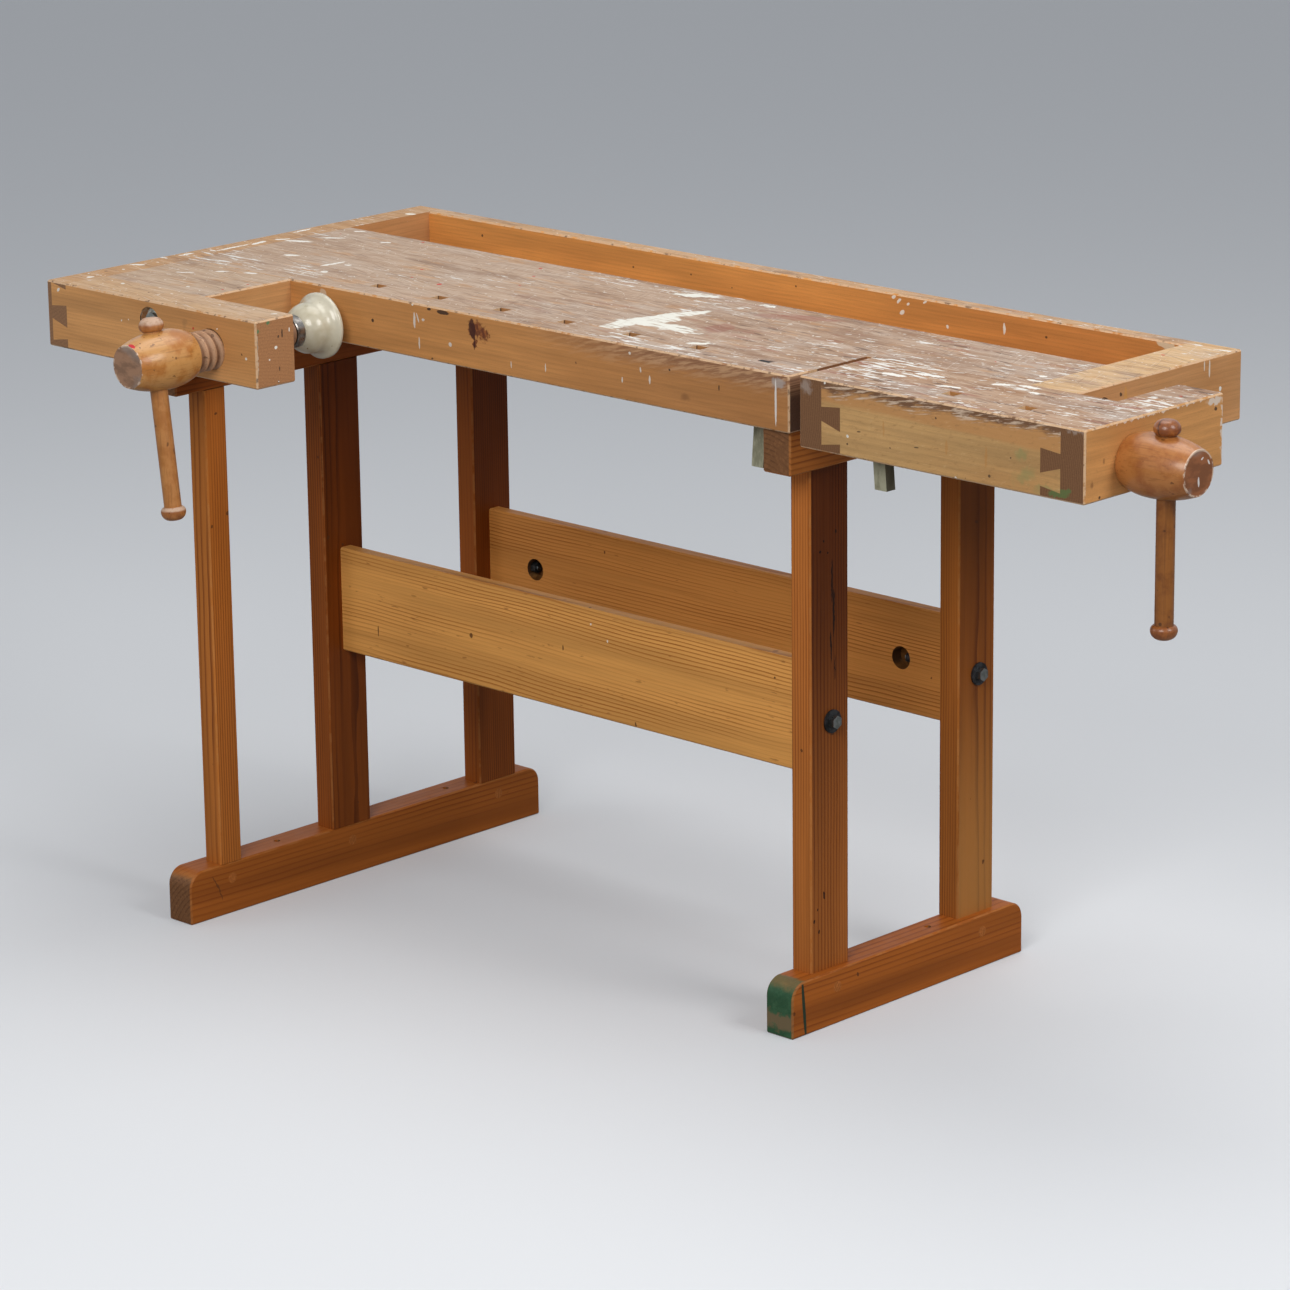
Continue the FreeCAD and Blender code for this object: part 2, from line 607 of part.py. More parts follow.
def lay(body, place, turn):
    """Put a turning in the bench: turned from its own axis, then moved to its place."""
    body.Placement = Placement(Vector(), turn)
    set_at(body, (place[0] - centre_x, place[1] - centre_y, place[2]))


toward_front = Rotation(Vector(0, 0, 1), -90)
toward_back = Rotation(Vector(0, 0, 1), 90)
toward_left = Rotation(Vector(0, 0, 1), 180)
along_bench = Rotation()
handle_tilt = Rotation(Vector(0, -1, 0), number(front_bar_angle))


def hub_piece(name):
    shoulder = hub_length / 3
    body = turned(name, [(none, none), (none, hub_base_radius), (shoulder, hub_radius),
                         (hub_length, hub_end_radius), (hub_length, none)],
                  {1: (hub_length * 0.9, -1), 2: (hub_length * 1.6, -1)})
    bore_start = hub_length - handle_place
    rod(body, "Subtractive", "Z", (bore_start, none, -hub_radius * 1.1), bar_radius + bar_clearance,
        hub_radius * 2.2)
    return body


def screw_piece(name, radius, thread_end, neck_length, plain_parts):
    """A wooden screw: a full neck, a core with one helical ridge, and plain parts as (end, radius)."""
    core = radius - thread_depth
    corners = [(none, none), (none, radius), (neck_length, radius), (neck_length, core),
               (thread_end, core)]
    place = thread_end
    for plain_end, plain_radius in plain_parts:
        corners += [(place, plain_radius), (plain_end, plain_radius)]
        place = plain_end
    body = turned(name, corners + [(place, none)])
    sunk = thread_depth / 4
    half_root = thread_pitch * 0.42
    start = neck_length + half_root + thread_margin
    sketch = outline(body, "XY_Plane", [
        (start - half_root, core - sunk), (start - thread_flat / 2, radius),
        (start + thread_flat / 2, radius), (start + half_root, core - sunk)])
    ridge = body.newObject("PartDesign::AdditiveHelix", name + "_thread")
    ridge.Profile = sketch
    ridge.ReferenceAxis = (sketch, ["H_Axis"])
    ridge.Mode = 0
    bind(ridge, "Pitch", thread_pitch)
    bind(ridge, "Height", thread_end - start - half_root - thread_margin)
    return body


pad_face = -pad_gap
pad_back = pad_face - pad_length
collar_back = pad_back - collar_length
front_screw_end = pad_back + pad_length * 0.5 - front_hub_base
front_lead_end = collar_back - socket_play - front_hub_base

front_hub = hub_piece("front_hub")
lay(front_hub, (front_screw_x, front_hub_base, top_screw_z), handle_tilt.multiply(toward_front))
front_screw = screw_piece("front_screw", front_screw_radius, front_lead_end - lead_length, screw_neck,
                          [(front_lead_end, lead_radius), (front_screw_end, journal_radius)])
lay(front_screw, (front_screw_x, front_hub_base, top_screw_z), toward_back)

tail_tip_gap = thread_pitch
tail_screw_end = tail_hub_base - hollow_left - tail_tip_gap
tail_hub = hub_piece("tail_hub")
lay(tail_hub, (tail_hub_base, tail_screw_y, top_screw_z), along_bench)
tail_screw = screw_piece("tail_screw", tail_screw_radius, tail_screw_end - screw_neck,
                         tail_hub_gap + tail_block, [(tail_screw_end, journal_radius)])
lay(tail_screw, (tail_hub_base, tail_screw_y, top_screw_z), toward_left)

# A wooden key in the end block drops into a groove round the plain neck of the tail screw.
garter_x = hollow_right + tail_block / 2
key_front = tail_screw_y + tail_screw_radius - garter_groove + tail_clearance
key_x = (garter_x, garter_x + garter_thickness)
key_back = end_block_depth - tail_block
key_z = (top_screw_z - garter_thickness, top_screw_z + garter_thickness)
block(tail_end_block, "Subtractive", key_x, (tail_screw_y, key_back), key_z)
board("tail_key", key_x, (key_front, key_back), key_z)
groove_low = tail_hub_base - garter_x - garter_thickness - tail_clearance
groove_high = tail_hub_base - garter_x + tail_clearance
groove_floor = tail_screw_radius - garter_groove
groove_sketch = outline(tail_screw, "XY_Plane", [
    (groove_low, groove_floor), (groove_high, groove_floor),
    (groove_high, tail_screw_radius + garter_groove), (groove_low, tail_screw_radius + garter_groove)])
groove = tail_screw.newObject("PartDesign::Groove", "tail_screw_groove")
groove.Profile = groove_sketch
groove.ReferenceAxis = (groove_sketch, ["H_Axis"])
groove.Angle = 360

# ---------------------------------------------------------------- clamping pad and its collar
socket_end = pad_length * 0.5 + socket_play
front_pad = turned("front_pad", [
    (none, journal_radius + screw_clearance), (none, pad_neck_radius),
    (pad_length * 0.5, pad_step_radius), (pad_length - pad_rim, pad_radius - pad_lip),
    (pad_length - pad_rim + pad_lip, pad_radius), (pad_length - pad_lip, pad_radius),
    (pad_length, pad_radius - pad_lip), (pad_length, none), (socket_end, none),
    (socket_end, journal_radius + screw_clearance)],
    {1: (pad_length * 0.6, -1), 2: (pad_length * 0.35, 1)})
lay(front_pad, (front_screw_x, pad_back, top_screw_z), toward_back)
front_collar = turned("front_collar", [
    (none, journal_radius + screw_clearance), (none, collar_radius - collar_ease),
    (collar_ease, collar_radius), (collar_length - collar_ease, collar_radius),
    (collar_length, collar_radius - collar_ease),
    (collar_length, journal_radius + screw_clearance)])
lay(front_collar, (front_screw_x, collar_back, top_screw_z), toward_back)


# ---------------------------------------------------------------- handles
def handle(name, place, turn):
    """A bar with a turned knob on each end; it hangs in its hub by the upper knob."""
    top = hub_radius + knob_gap + knob_length
    foot = top - bar_length
    neck = knob_length * 0.6
    bar = new_body(name + "_bar")
    rod(bar, "Additive", "Z", (none, none, foot + knob_length - neck), bar_radius,
        bar_length - (knob_length - neck) * 2)
    lay(bar, place, turn)
    knobs = []
    for end, seat, outward in (("top", top - knob_length, 1), ("foot", foot + knob_length, -1)):
        knob = new_body(name + "_knob_" + end)
        crown = seat + knob_length * outward
        sketch = outline(knob, "XZ_Plane", [
            (none, seat), (knob_seat_radius, seat), (knob_radius, seat + knob_length * 0.35 * outward),
            (knob_crown_radius, crown), (none, crown)],
            {1: (knob_length * 0.41, outward), 2: (knob_radius * 0.7, outward)})
        revolve(knob, sketch, "V_Axis")
        socket_start = seat if end == "top" else seat - neck
        rod(knob, "Subtractive", "Z", (none, none, socket_start), bar_radius, neck)
        lay(knob, place, turn)
        knobs.append(knob)
    group(name + "_knobs", knobs)


handle("tail_handle", (tail_hub_base + hub_length - handle_place, tail_screw_y, top_screw_z),
       along_bench)
handle("front_handle", (front_screw_x, front_hub_base - hub_length + handle_place, top_screw_z),
       handle_tilt)


# ---------------------------------------------------------------- bench dogs
def bench_dog(name, centre, top, lean):
    """A steel dog that leans with its hole."""
    width = dog_hole_length - dog_clearance * 2
    left = centre - width / 2
    right = centre + width / 2
    bottom = top - dog_length
    shift = lean * dog_length
    body = new_body(name)
    sketch = outline(body, "XZ_Plane", [(left - shift, bottom), (right - shift, bottom),
                                        (right, top), (left, top)])
    pad(body, sketch, dog_hole_width - dog_clearance * 2, -dog_back + dog_clearance)
    return body


bench_dog("bench_dog", jaw_end - dog_last, bench_height, dog_slope)
bench_dog("tail_dog", tail_first_hole, tail_top, -dog_slope)

# ---------------------------------------------------------------- trestles
left_foot_x = (left_trestle_face - trestle_width, left_trestle_face)
right_foot_x = (right_trestle_face, right_trestle_face + trestle_width)
bearer_bottom = bench_height - bearer_drop


def foot(name, x, front):
    body = new_body(name)
    sketch = outline(body, "YZ_Plane", [
        (front, none), (foot_back, none), (foot_back, foot_height - foot_round),
        (foot_back - foot_round, foot_height), (front + foot_round, foot_height),
        (front, foot_height - foot_round)], {2: (foot_round, 1), 4: (foot_round, 1)})
    ease(body, pad(body, sketch, trestle_width, x[0]))
    return body


left_foot = foot("left_foot", left_foot_x, -left_foot_front)
right_foot = foot("right_foot", right_foot_x, right_foot_front)

def bearer(name, x, front):
    """A beam under the slab, cut down where the apron, the tray and the back rail hang lower."""
    body = board(name, x, (front, foot_back), (bearer_bottom, slab_bottom),
                 ("left", "right", "front", "back", "under"))
    for y, low in (((front, none), rim_bottom), ((none, dog_back), apron_bottom),
                   ((tray_front, foot_back), tray_bottom),
                   ((rail_front, foot_back), bench_height - rail_height)):
        if number(y[0]) < number(y[1]):
            block(body, "Subtractive", x, y, (low, slab_bottom))
    return body


left_bearer = bearer("left_bearer", left_foot_x, -left_bearer_front)
right_bearer = bearer("right_bearer", right_foot_x, right_foot_front)


def leg(name, x_inner, side, front, depth, trestle):
    """A leg between foot and bearer, with a tenon into each."""
    x = (x_inner - leg_thickness, x_inner) if side < 0 else (x_inner, x_inner + leg_thickness)
    tenon_left = x[0] + leg_thickness / 2 - tenon_thickness / 2
    tenon_x = (tenon_left, tenon_left + tenon_thickness)
    tenon_y = (front + tenon_shoulder, front + depth - tenon_shoulder)
    body = board(name, x, (front, front + depth), (foot_height, bearer_bottom),
                 ("left", "right", "front", "back"))
    for member, low, high in ((trestle[0], foot_height - tenon_length, foot_height),
                              (trestle[1], bearer_bottom, bearer_bottom + tenon_length)):
        block(body, "Additive", tenon_x, tenon_y, (low, high))
        block(member, "Subtractive", tenon_x, tenon_y, (low, high))
    return body


left_trestle = (left_foot, left_bearer)
right_trestle = (right_foot, right_bearer)
arm_leg = leg("arm_leg", left_trestle_face, -1, -arm_leg_front, arm_leg_depth, left_trestle)
left_front_leg = leg("left_front_leg", left_trestle_face, -1, front_leg_y, leg_depth, left_trestle)
left_back_leg = leg("left_back_leg", left_trestle_face, -1, back_leg_y, leg_depth, left_trestle)
right_front_leg = leg("right_front_leg", right_trestle_face, 1, front_leg_y, leg_depth, right_trestle)
right_back_leg = leg("right_back_leg", right_trestle_face, 1, back_leg_y, leg_depth, right_trestle)

# Wooden pins through each foot and leg tenon, flush with the inner face of the foot.
pins = []
for index, (member, post, outer, leg_front, depth) in enumerate((
        (left_foot, arm_leg, left_foot_x[0], -arm_leg_front, arm_leg_depth),
        (left_foot, left_front_leg, left_foot_x[0], front_leg_y, leg_depth),
        (left_foot, left_back_leg, left_foot_x[0], back_leg_y, leg_depth),
        (right_foot, right_front_leg, right_foot_x[0], front_leg_y, leg_depth),
        (right_foot, right_back_leg, right_foot_x[0], back_leg_y, leg_depth))):
    start = (outer, leg_front + depth / 2, plug_height)
    peg = new_body("foot_pin_%d" % index)
    rod(peg, "Additive", "X", start, plug_radius, trestle_width)
    rod(member, "Subtractive", "X", start, plug_radius, trestle_width)
    rod(post, "Subtractive", "X", start, plug_radius, trestle_width)
    pins.append(peg)
group("foot_pins", pins)

# Holes down through the feet, for screws into a workshop floor.
floor_hole_gap = (back_leg_y - front_leg_y - leg_depth) * 0.78
for member, x in ((left_foot, left_foot_x), (right_foot, right_foot_x)):
    rod(member, "Subtractive", "Z",
        (x[0] + trestle_width / 2, front_leg_y + leg_depth + floor_hole_gap, none),
        floor_hole_radius, foot_height)
rod(left_foot, "Subtractive", "Z",
    (left_foot_x[0] + trestle_width / 2, (front_leg_y - arm_leg_front + arm_leg_depth) / 2, none),
    floor_hole_radius, foot_height)

# ---------------------------------------------------------------- stretchers and their bolts
bolt_height = stretcher_bottom + stretcher_height / 2
inside_x = (left_trestle_face, right_trestle_face)
bolts = []
washers = []
nuts = []


def stretcher_bolt(name, head_seat, tip, side, y):
    body = new_body(name + "_bolt")
    low, length = (head_seat, tip - head_seat) if side < 0 else (tip, head_seat - tip)
    head_low = head_seat - bolt_head_length if side < 0 else head_seat
    rod(body, "Additive", "X", (low, y, bolt_height), bolt_radius, length)
    hexagon(body, "X", (head_low, y, bolt_height), bolt_head_radius, bolt_head_length)
    return body


def stretcher_washer(name, outer, side, y):
    body = new_body(name + "_washer")
    low = outer - washer_thickness if side < 0 else outer
    rod(body, "Additive", "X", (low, y, bolt_height), washer_radius, washer_thickness)
    rod(body, "Subtractive", "X", (low, y, bolt_height), bolt_radius, washer_thickness)
    return body


def stretcher_nut(name, nut_face, side, y):
    body = new_body(name + "_nut")
    low = nut_face if side < 0 else nut_face - nut_length
    hexagon(body, "X", (low, y, bolt_height), nut_radius, nut_length)
    rod(body, "Subtractive", "X", (low, y, bolt_height), bolt_radius, nut_length)
    return body


for label, leg_front, from_back in (("front", front_leg_y, True), ("back", back_leg_y, False)):
    near = leg_front + stretcher_inset
    far = near + stretcher_thickness
    stretcher = board(label + "_stretcher", inside_x, (near, far),
                      (stretcher_bottom, stretcher_bottom + stretcher_height),
                      ("front", "back", "top", "under"))
    hole_y = near + access_skin if from_back else near
    bolt_y = near + stretcher_thickness / 2
    posts = ((left_front_leg, right_front_leg) if label == "front"
             else (left_back_leg, right_back_leg))
    for side, post, face, hole_x in (
            (-1, posts[0], left_trestle_face, left_trestle_face + access_inset),
            (1, posts[1], right_trestle_face, right_trestle_face - access_inset)):
        rod(stretcher, "Subtractive", "Y", (hole_x, hole_y, bolt_height), access_radius,
            stretcher_thickness - access_skin)
        outer = face - leg_thickness if side < 0 else face + leg_thickness
        nut_face = hole_x + nut_seat * side
        tip = nut_face - (nut_length + bolt_tail) * side
        head_seat = outer + washer_thickness * side
        name = label + ("_left" if side < 0 else "_right")
        bolts.append(stretcher_bolt(name, head_seat, tip, side, bolt_y))
        washers.append(stretcher_washer(name, outer, side, bolt_y))
        nuts.append(stretcher_nut(name, nut_face, side, bolt_y))
        rod(post, "Subtractive", "X", (outer if side < 0 else face, bolt_y, bolt_height),
            bolt_radius, leg_thickness)
        rod(stretcher, "Subtractive", "X", (face if side < 0 else hole_x, bolt_y, bolt_height),
            bolt_radius, access_inset)
group("stretcher_bolts", bolts)
group("stretcher_washers", washers)
group("stretcher_nuts", nuts)

# ---------------------------------------------------------------- check and write
doc.recompute()
for item in doc.Objects:
    if "Invalid" in item.State or "Error" in item.State:
        raise RuntimeError(item.Label + " failed: " + str(item.State))
for name, item in nodes.items():
    if item.Shape.isNull() or not item.Shape.isValid() or not item.Shape.Solids:
        raise RuntimeError(name + " has no valid shape")
    item.Shape.exportStep("parts/" + name + ".step")
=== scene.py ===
import bpy
import json
import math
from mathutils import Euler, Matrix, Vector

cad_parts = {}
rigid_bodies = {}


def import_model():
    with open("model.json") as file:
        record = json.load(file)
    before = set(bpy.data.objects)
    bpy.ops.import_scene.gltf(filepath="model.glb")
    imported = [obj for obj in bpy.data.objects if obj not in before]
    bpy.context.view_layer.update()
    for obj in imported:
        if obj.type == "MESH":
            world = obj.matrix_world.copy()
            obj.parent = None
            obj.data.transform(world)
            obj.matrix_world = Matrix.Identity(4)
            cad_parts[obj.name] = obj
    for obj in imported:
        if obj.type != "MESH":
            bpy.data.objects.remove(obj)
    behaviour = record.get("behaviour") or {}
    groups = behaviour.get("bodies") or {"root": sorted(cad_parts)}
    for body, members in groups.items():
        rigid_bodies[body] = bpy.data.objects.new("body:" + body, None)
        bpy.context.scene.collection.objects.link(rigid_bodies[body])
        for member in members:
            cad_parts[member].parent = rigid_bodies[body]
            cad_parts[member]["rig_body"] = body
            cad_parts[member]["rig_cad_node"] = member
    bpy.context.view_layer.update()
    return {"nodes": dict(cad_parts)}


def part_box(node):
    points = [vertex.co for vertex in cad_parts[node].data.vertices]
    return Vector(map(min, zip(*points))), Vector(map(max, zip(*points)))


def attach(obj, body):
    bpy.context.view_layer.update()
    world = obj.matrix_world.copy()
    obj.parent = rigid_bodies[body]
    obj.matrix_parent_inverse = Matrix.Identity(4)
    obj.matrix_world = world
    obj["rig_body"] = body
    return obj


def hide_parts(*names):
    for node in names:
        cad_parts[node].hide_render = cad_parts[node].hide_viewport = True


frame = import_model()


# ---------------------------------------------------------------- view, floor and light
# A long lens from the right front, a little above the top. The bench stands on a plain pale
# floor under soft lamps overhead, at the right front and at the right end, with a weak one left.
bench_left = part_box("left_end_cap")[0].x
bench_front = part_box("apron")[0].y


def on_bench(x, y, z):
    """A place measured from the left end and the front face of the bench, in the row's frame."""
    return Vector((bench_left + x, bench_front + y, z))


camera_data = bpy.data.cameras.new("view")
camera_data.sensor_width = 36
camera_data.lens = 138.32
camera = bpy.data.objects.new("view", camera_data)
camera.location = on_bench(4.9128, -4.1954, 2.1124)
turn = Euler((math.radians(90 - 15.842), 0, math.radians(43.984))).to_matrix()
roll = Euler((0, 0, math.radians(-0.732))).to_matrix()
camera.rotation_euler = (turn @ roll).to_euler()
bpy.context.scene.collection.objects.link(camera)
bpy.context.scene.camera = camera
bpy.context.scene.view_settings.view_transform = "Standard"


def lamp(name, place, size, power, colour):
    data = bpy.data.lights.new(name, "AREA")
    data.shape = "DISK"
    data.size = size
    data.energy = power
    data.color = colour
    item = bpy.data.objects.new(name, data)
    item.location = place
    aim = on_bench(0.75, 0.2, 0.55) - place
    item.rotation_euler = aim.to_track_quat("-Z", "Y").to_euler()
    bpy.context.scene.collection.objects.link(item)


lamp("overhead", on_bench(0.6, 0.8, 3.4), 2.4, 40, (1.0, 0.98, 0.95))
lamp("right_front", on_bench(2.4, -3.2, 2.9), 2.2, 95, (1.0, 0.98, 0.95))
lamp("left_front", on_bench(-2.4, -3.0, 1.8), 2.0, 16, (1.0, 0.97, 0.93))
lamp("right_end", on_bench(4.2, 0.4, 3.0), 1.8, 62, (1.0, 0.98, 0.96))

world = bpy.data.worlds.new("room")
bpy.context.scene.world = world
world.use_nodes = True
sky = world.node_tree.nodes
sky_links = world.node_tree.links
soft = sky["Background"]
soft.inputs["Color"].default_value = (0.86, 0.90, 0.95, 1)
soft.inputs["Strength"].default_value = 0.26
pale = sky.new("ShaderNodeBackground")
pale.inputs["Color"].default_value = (0.62, 0.65, 0.69, 1)
seen = sky.new("ShaderNodeLightPath")
either = sky.new("ShaderNodeMath")
either.operation = "MAXIMUM"
sky_links.new(seen.outputs["Is Camera Ray"], either.inputs[0])
sky_links.new(seen.outputs["Is Glossy Ray"], either.inputs[1])
choice = sky.new("ShaderNodeMixShader")
sky_links.new(either.outputs[0], choice.inputs[0])
sky_links.new(soft.outputs[0], choice.inputs[1])
sky_links.new(pale.outputs[0], choice.inputs[2])
sky_links.new(choice.outputs[0], sky["World Output"].inputs[0])

bpy.ops.object.select_all(action="DESELECT")
bpy.ops.mesh.primitive_plane_add(size=60, location=(0, 0, 0))
floor = bpy.context.object
floor.name = "floor"
floor_finish = bpy.data.materials.new("pale_floor")
floor_finish.use_nodes = True
floor_nodes = floor_finish.node_tree.nodes
floor_nodes["Principled BSDF"].inputs["Roughness"].default_value = 0.9
floor_seen = floor_nodes.new("ShaderNodeLightPath")
floor_tone = floor_nodes.new("ShaderNodeMix")
floor_tone.data_type = "RGBA"
floor_tone.inputs[6].default_value = (0.30, 0.30, 0.30, 1)
floor_tone.inputs[7].default_value = (0.62, 0.64, 0.67, 1)
floor_finish.node_tree.links.new(floor_seen.outputs["Is Camera Ray"], floor_tone.inputs[0])
floor_finish.node_tree.links.new(floor_tone.outputs[2],
                                 floor_nodes["Principled BSDF"].inputs["Base Color"])
floor_glow = floor_nodes.new("ShaderNodeMix")
floor_glow.data_type = "RGBA"
floor_glow.inputs[6].default_value = (0, 0, 0, 1)
floor_glow.inputs[7].default_value = (0.129, 0.133, 0.140, 1)
floor_finish.node_tree.links.new(floor_seen.outputs["Is Camera Ray"], floor_glow.inputs[0])
floor_finish.node_tree.links.new(floor_glow.outputs[2],
                                 floor_nodes["Principled BSDF"].inputs["Emission Color"])
floor_nodes["Principled BSDF"].inputs["Emission Strength"].default_value = 1.0
floor.data.materials.append(floor_finish)


# ---------------------------------------------------------------- slab
# The top is glued up from beech planks that run along the bench. Years of work have left it
# pale and pinkish, with brown stains, knife cuts, smears of white paint and wine red spots,
# more of them towards the tail vise.
class Signal:
    """A shader socket that is added, multiplied and compared like a number."""

    def __init__(self, finish, socket):
        self.finish = finish
        self.socket = socket

    def math(self, operation, *values):
        return self.finish.node("ShaderNodeMath", {"operation": operation}, values)

    def out(self, name):
        return Signal(self.finish, self.socket.node.outputs[name])

    def __add__(self, other):
        return self.math("ADD", self, other)

    def __sub__(self, other):
        return self.math("SUBTRACT", self, other)

    def __rsub__(self, other):
        return self.math("SUBTRACT", other, self)

    def __mul__(self, other):
        return self.math("MULTIPLY", self, other)

    def __truediv__(self, other):
        return self.math("DIVIDE", self, other)

    def __pow__(self, other):
        return self.math("POWER", self, other)

    def __abs__(self):
        return self.math("ABSOLUTE", self)

    __radd__ = __add__
    __rmul__ = __mul__


class Finish:
    """One finish: its material, and the place on the bench and facing of the point at hand."""

    def __init__(self, name):
        self.material = bpy.data.materials.new(name)
        self.material.use_nodes = True
        self.tree = self.material.node_tree
        self.shader = self.tree.nodes["Principled BSDF"]
        row_place = self.node("ShaderNodeTexCoord", {}, {}, "Object")
        self.place = self.vector("SUBTRACT", row_place, tuple(on_bench(0, 0, 0)))
        split = self.node("ShaderNodeSeparateXYZ", {}, [self.place])
        self.x, self.y, self.z = (split.out(axis) for axis in "XYZ")
        facing = self.node("ShaderNodeSeparateXYZ", {}, [row_place.out("Normal")])
        self.facing = {axis: facing.out(axis) for axis in "XYZ"}
        flattest = abs(self.facing["X"])
        for axis in "YZ":
            flattest = flattest.math("MAXIMUM", flattest, abs(self.facing[axis]))
        self.up = self.fade(self.facing["Z"], 0.75, 0.95)
        self.front = self.fade(self.facing["Y"], -0.75, -0.95)
        self.right = self.fade(self.facing["X"], 0.75, 0.95)
        self.arris = self.fade(flattest, 0.92, 0.80)

    def node(self, kind, settings, values, output=0):
        """Add a node: its settings first, then the value or link of each socket named."""
        node = self.tree.nodes.new(kind)
        for key, value in settings.items():
            setattr(node, key, value)
        pairs = values.items() if isinstance(values, dict) else enumerate(values)
        for socket, value in pairs:
            self.feed(node.inputs[socket], value)
        return Signal(self, node.outputs[output])

    def feed(self, socket, value):
        if isinstance(value, Signal):
            self.tree.links.new(value.socket, socket)
        else:
            socket.default_value = value

    def vector(self, operation, *values, output=0):
        return self.node("ShaderNodeVectorMath", {"operation": operation}, values, output)

    def cloud(self, scales, detail=3.0, roughness=0.55, shift=0.0, turned=None):
        """Noise stretched by a scale along each axis, turned first by degrees about the axes."""
        point = self.place
        if turned:
            point = self.node("ShaderNodeMapping", {}, {
                "Vector": point, "Rotation": tuple(math.radians(angle) for angle in turned)})
        point = self.node("ShaderNodeMapping", {}, {
            "Vector": point, "Scale": scales, "Location": (shift, shift, shift)})
        return self.node("ShaderNodeTexNoise", {}, {
            "Vector": point, "Scale": 1.0, "Detail": detail, "Roughness": roughness})

    def fade(self, value, low, high):
        """0 below low, 1 above high, smooth between; with low above high it falls instead."""
        return self.node("ShaderNodeMapRange", {"interpolation_type": "SMOOTHSTEP"},
                         [value, low, high, 0.0, 1.0])

    def mix(self, amount, first, second, how="MIX"):
        colours = [value if isinstance(value, Signal) else (*value, 1) for value in (first, second)]
        return self.node("ShaderNodeMix", {"data_type": "RGBA", "blend_type": how},
                         {0: amount, 6: colours[0], 7: colours[1]}, 2)

    def patches(self, face, marks, ragged=0.006, scale=140.0, core=0.8):
        """1 inside ellipses with torn rims: each has a centre, half sizes and a turn in degrees.

        Centres are measured on the face: along and across the top, along and up the front, or
        back and up the right end. A small core makes the rims soft.
        """
        jitter = self.node("ShaderNodeTexNoise", {}, {
            "Vector": self.place, "Scale": scale, "Detail": 3.0}, "Color")
        jitter = self.vector("SUBTRACT", jitter, (0.5, 0.5, 0.5))
        torn = self.vector("MULTIPLY_ADD", jitter, (ragged,) * 3, self.place)
        nearest = None
        for a, b, half_a, half_b, angle in marks:
            tilt = math.radians(angle)
            centre, turn, size = {
                "top": ((a, b, 0), (0, 0, tilt), (half_a, half_b, 9)),
                "front": ((a, 0, b), (0, -tilt, 0), (half_a, 9, half_b)),
                "end": ((0, a, b), (tilt, 0, 0), (9, half_a, half_b))}[face]
            local = self.node("ShaderNodeMapping", {"vector_type": "TEXTURE"}, {
                "Vector": torn, "Location": centre, "Rotation": turn, "Scale": size})
            reach = self.vector("LENGTH", local, output="Value")
            nearest = reach if nearest is None else reach.math("MINIMUM", nearest, reach)
        side = {"top": self.up, "front": self.front, "end": self.right}[face]
        return self.fade(nearest, 1.0, core) * side

    def bump(self, height, depth, distance=0.001):
        self.feed(self.shader.inputs["Normal"], self.node("ShaderNodeBump", {}, {
            "Strength": depth, "Distance": distance, "Height": height}))


def grain_scales(along, slow, fast):
    return tuple(slow if axis == along else fast for axis in "XYZ")


def growth(finish, along, heart, ring, taper=0.0, wobble=0.004):
    """Where a point lies between two rings of a trunk whose heart runs beside the board."""
    length, across, depth = {"X": (finish.x, finish.y, finish.z),
                             "Y": (finish.y, finish.x, finish.z),
                             "Z": (finish.z, finish.x, finish.y)}[along]
    sway = finish.cloud(grain_scales(along, 2.2, 9.0), 2.0, 0.5, 5.0) - 0.5
    ripple = finish.cloud(grain_scales(along, 12.0, 60.0), 2.0, 0.5, 9.0) - 0.5
    side = across - heart[0]
    back = depth - heart[1]
    radius = (side * side + back * back) ** 0.5 + length * taper
    turns = (radius + sway * wobble * 4 + ripple * wobble * 0.5) / ring
    return turns.math("FRACT", turns)


def scaled(colour, factor):
    return tuple(part * factor for part in colour)


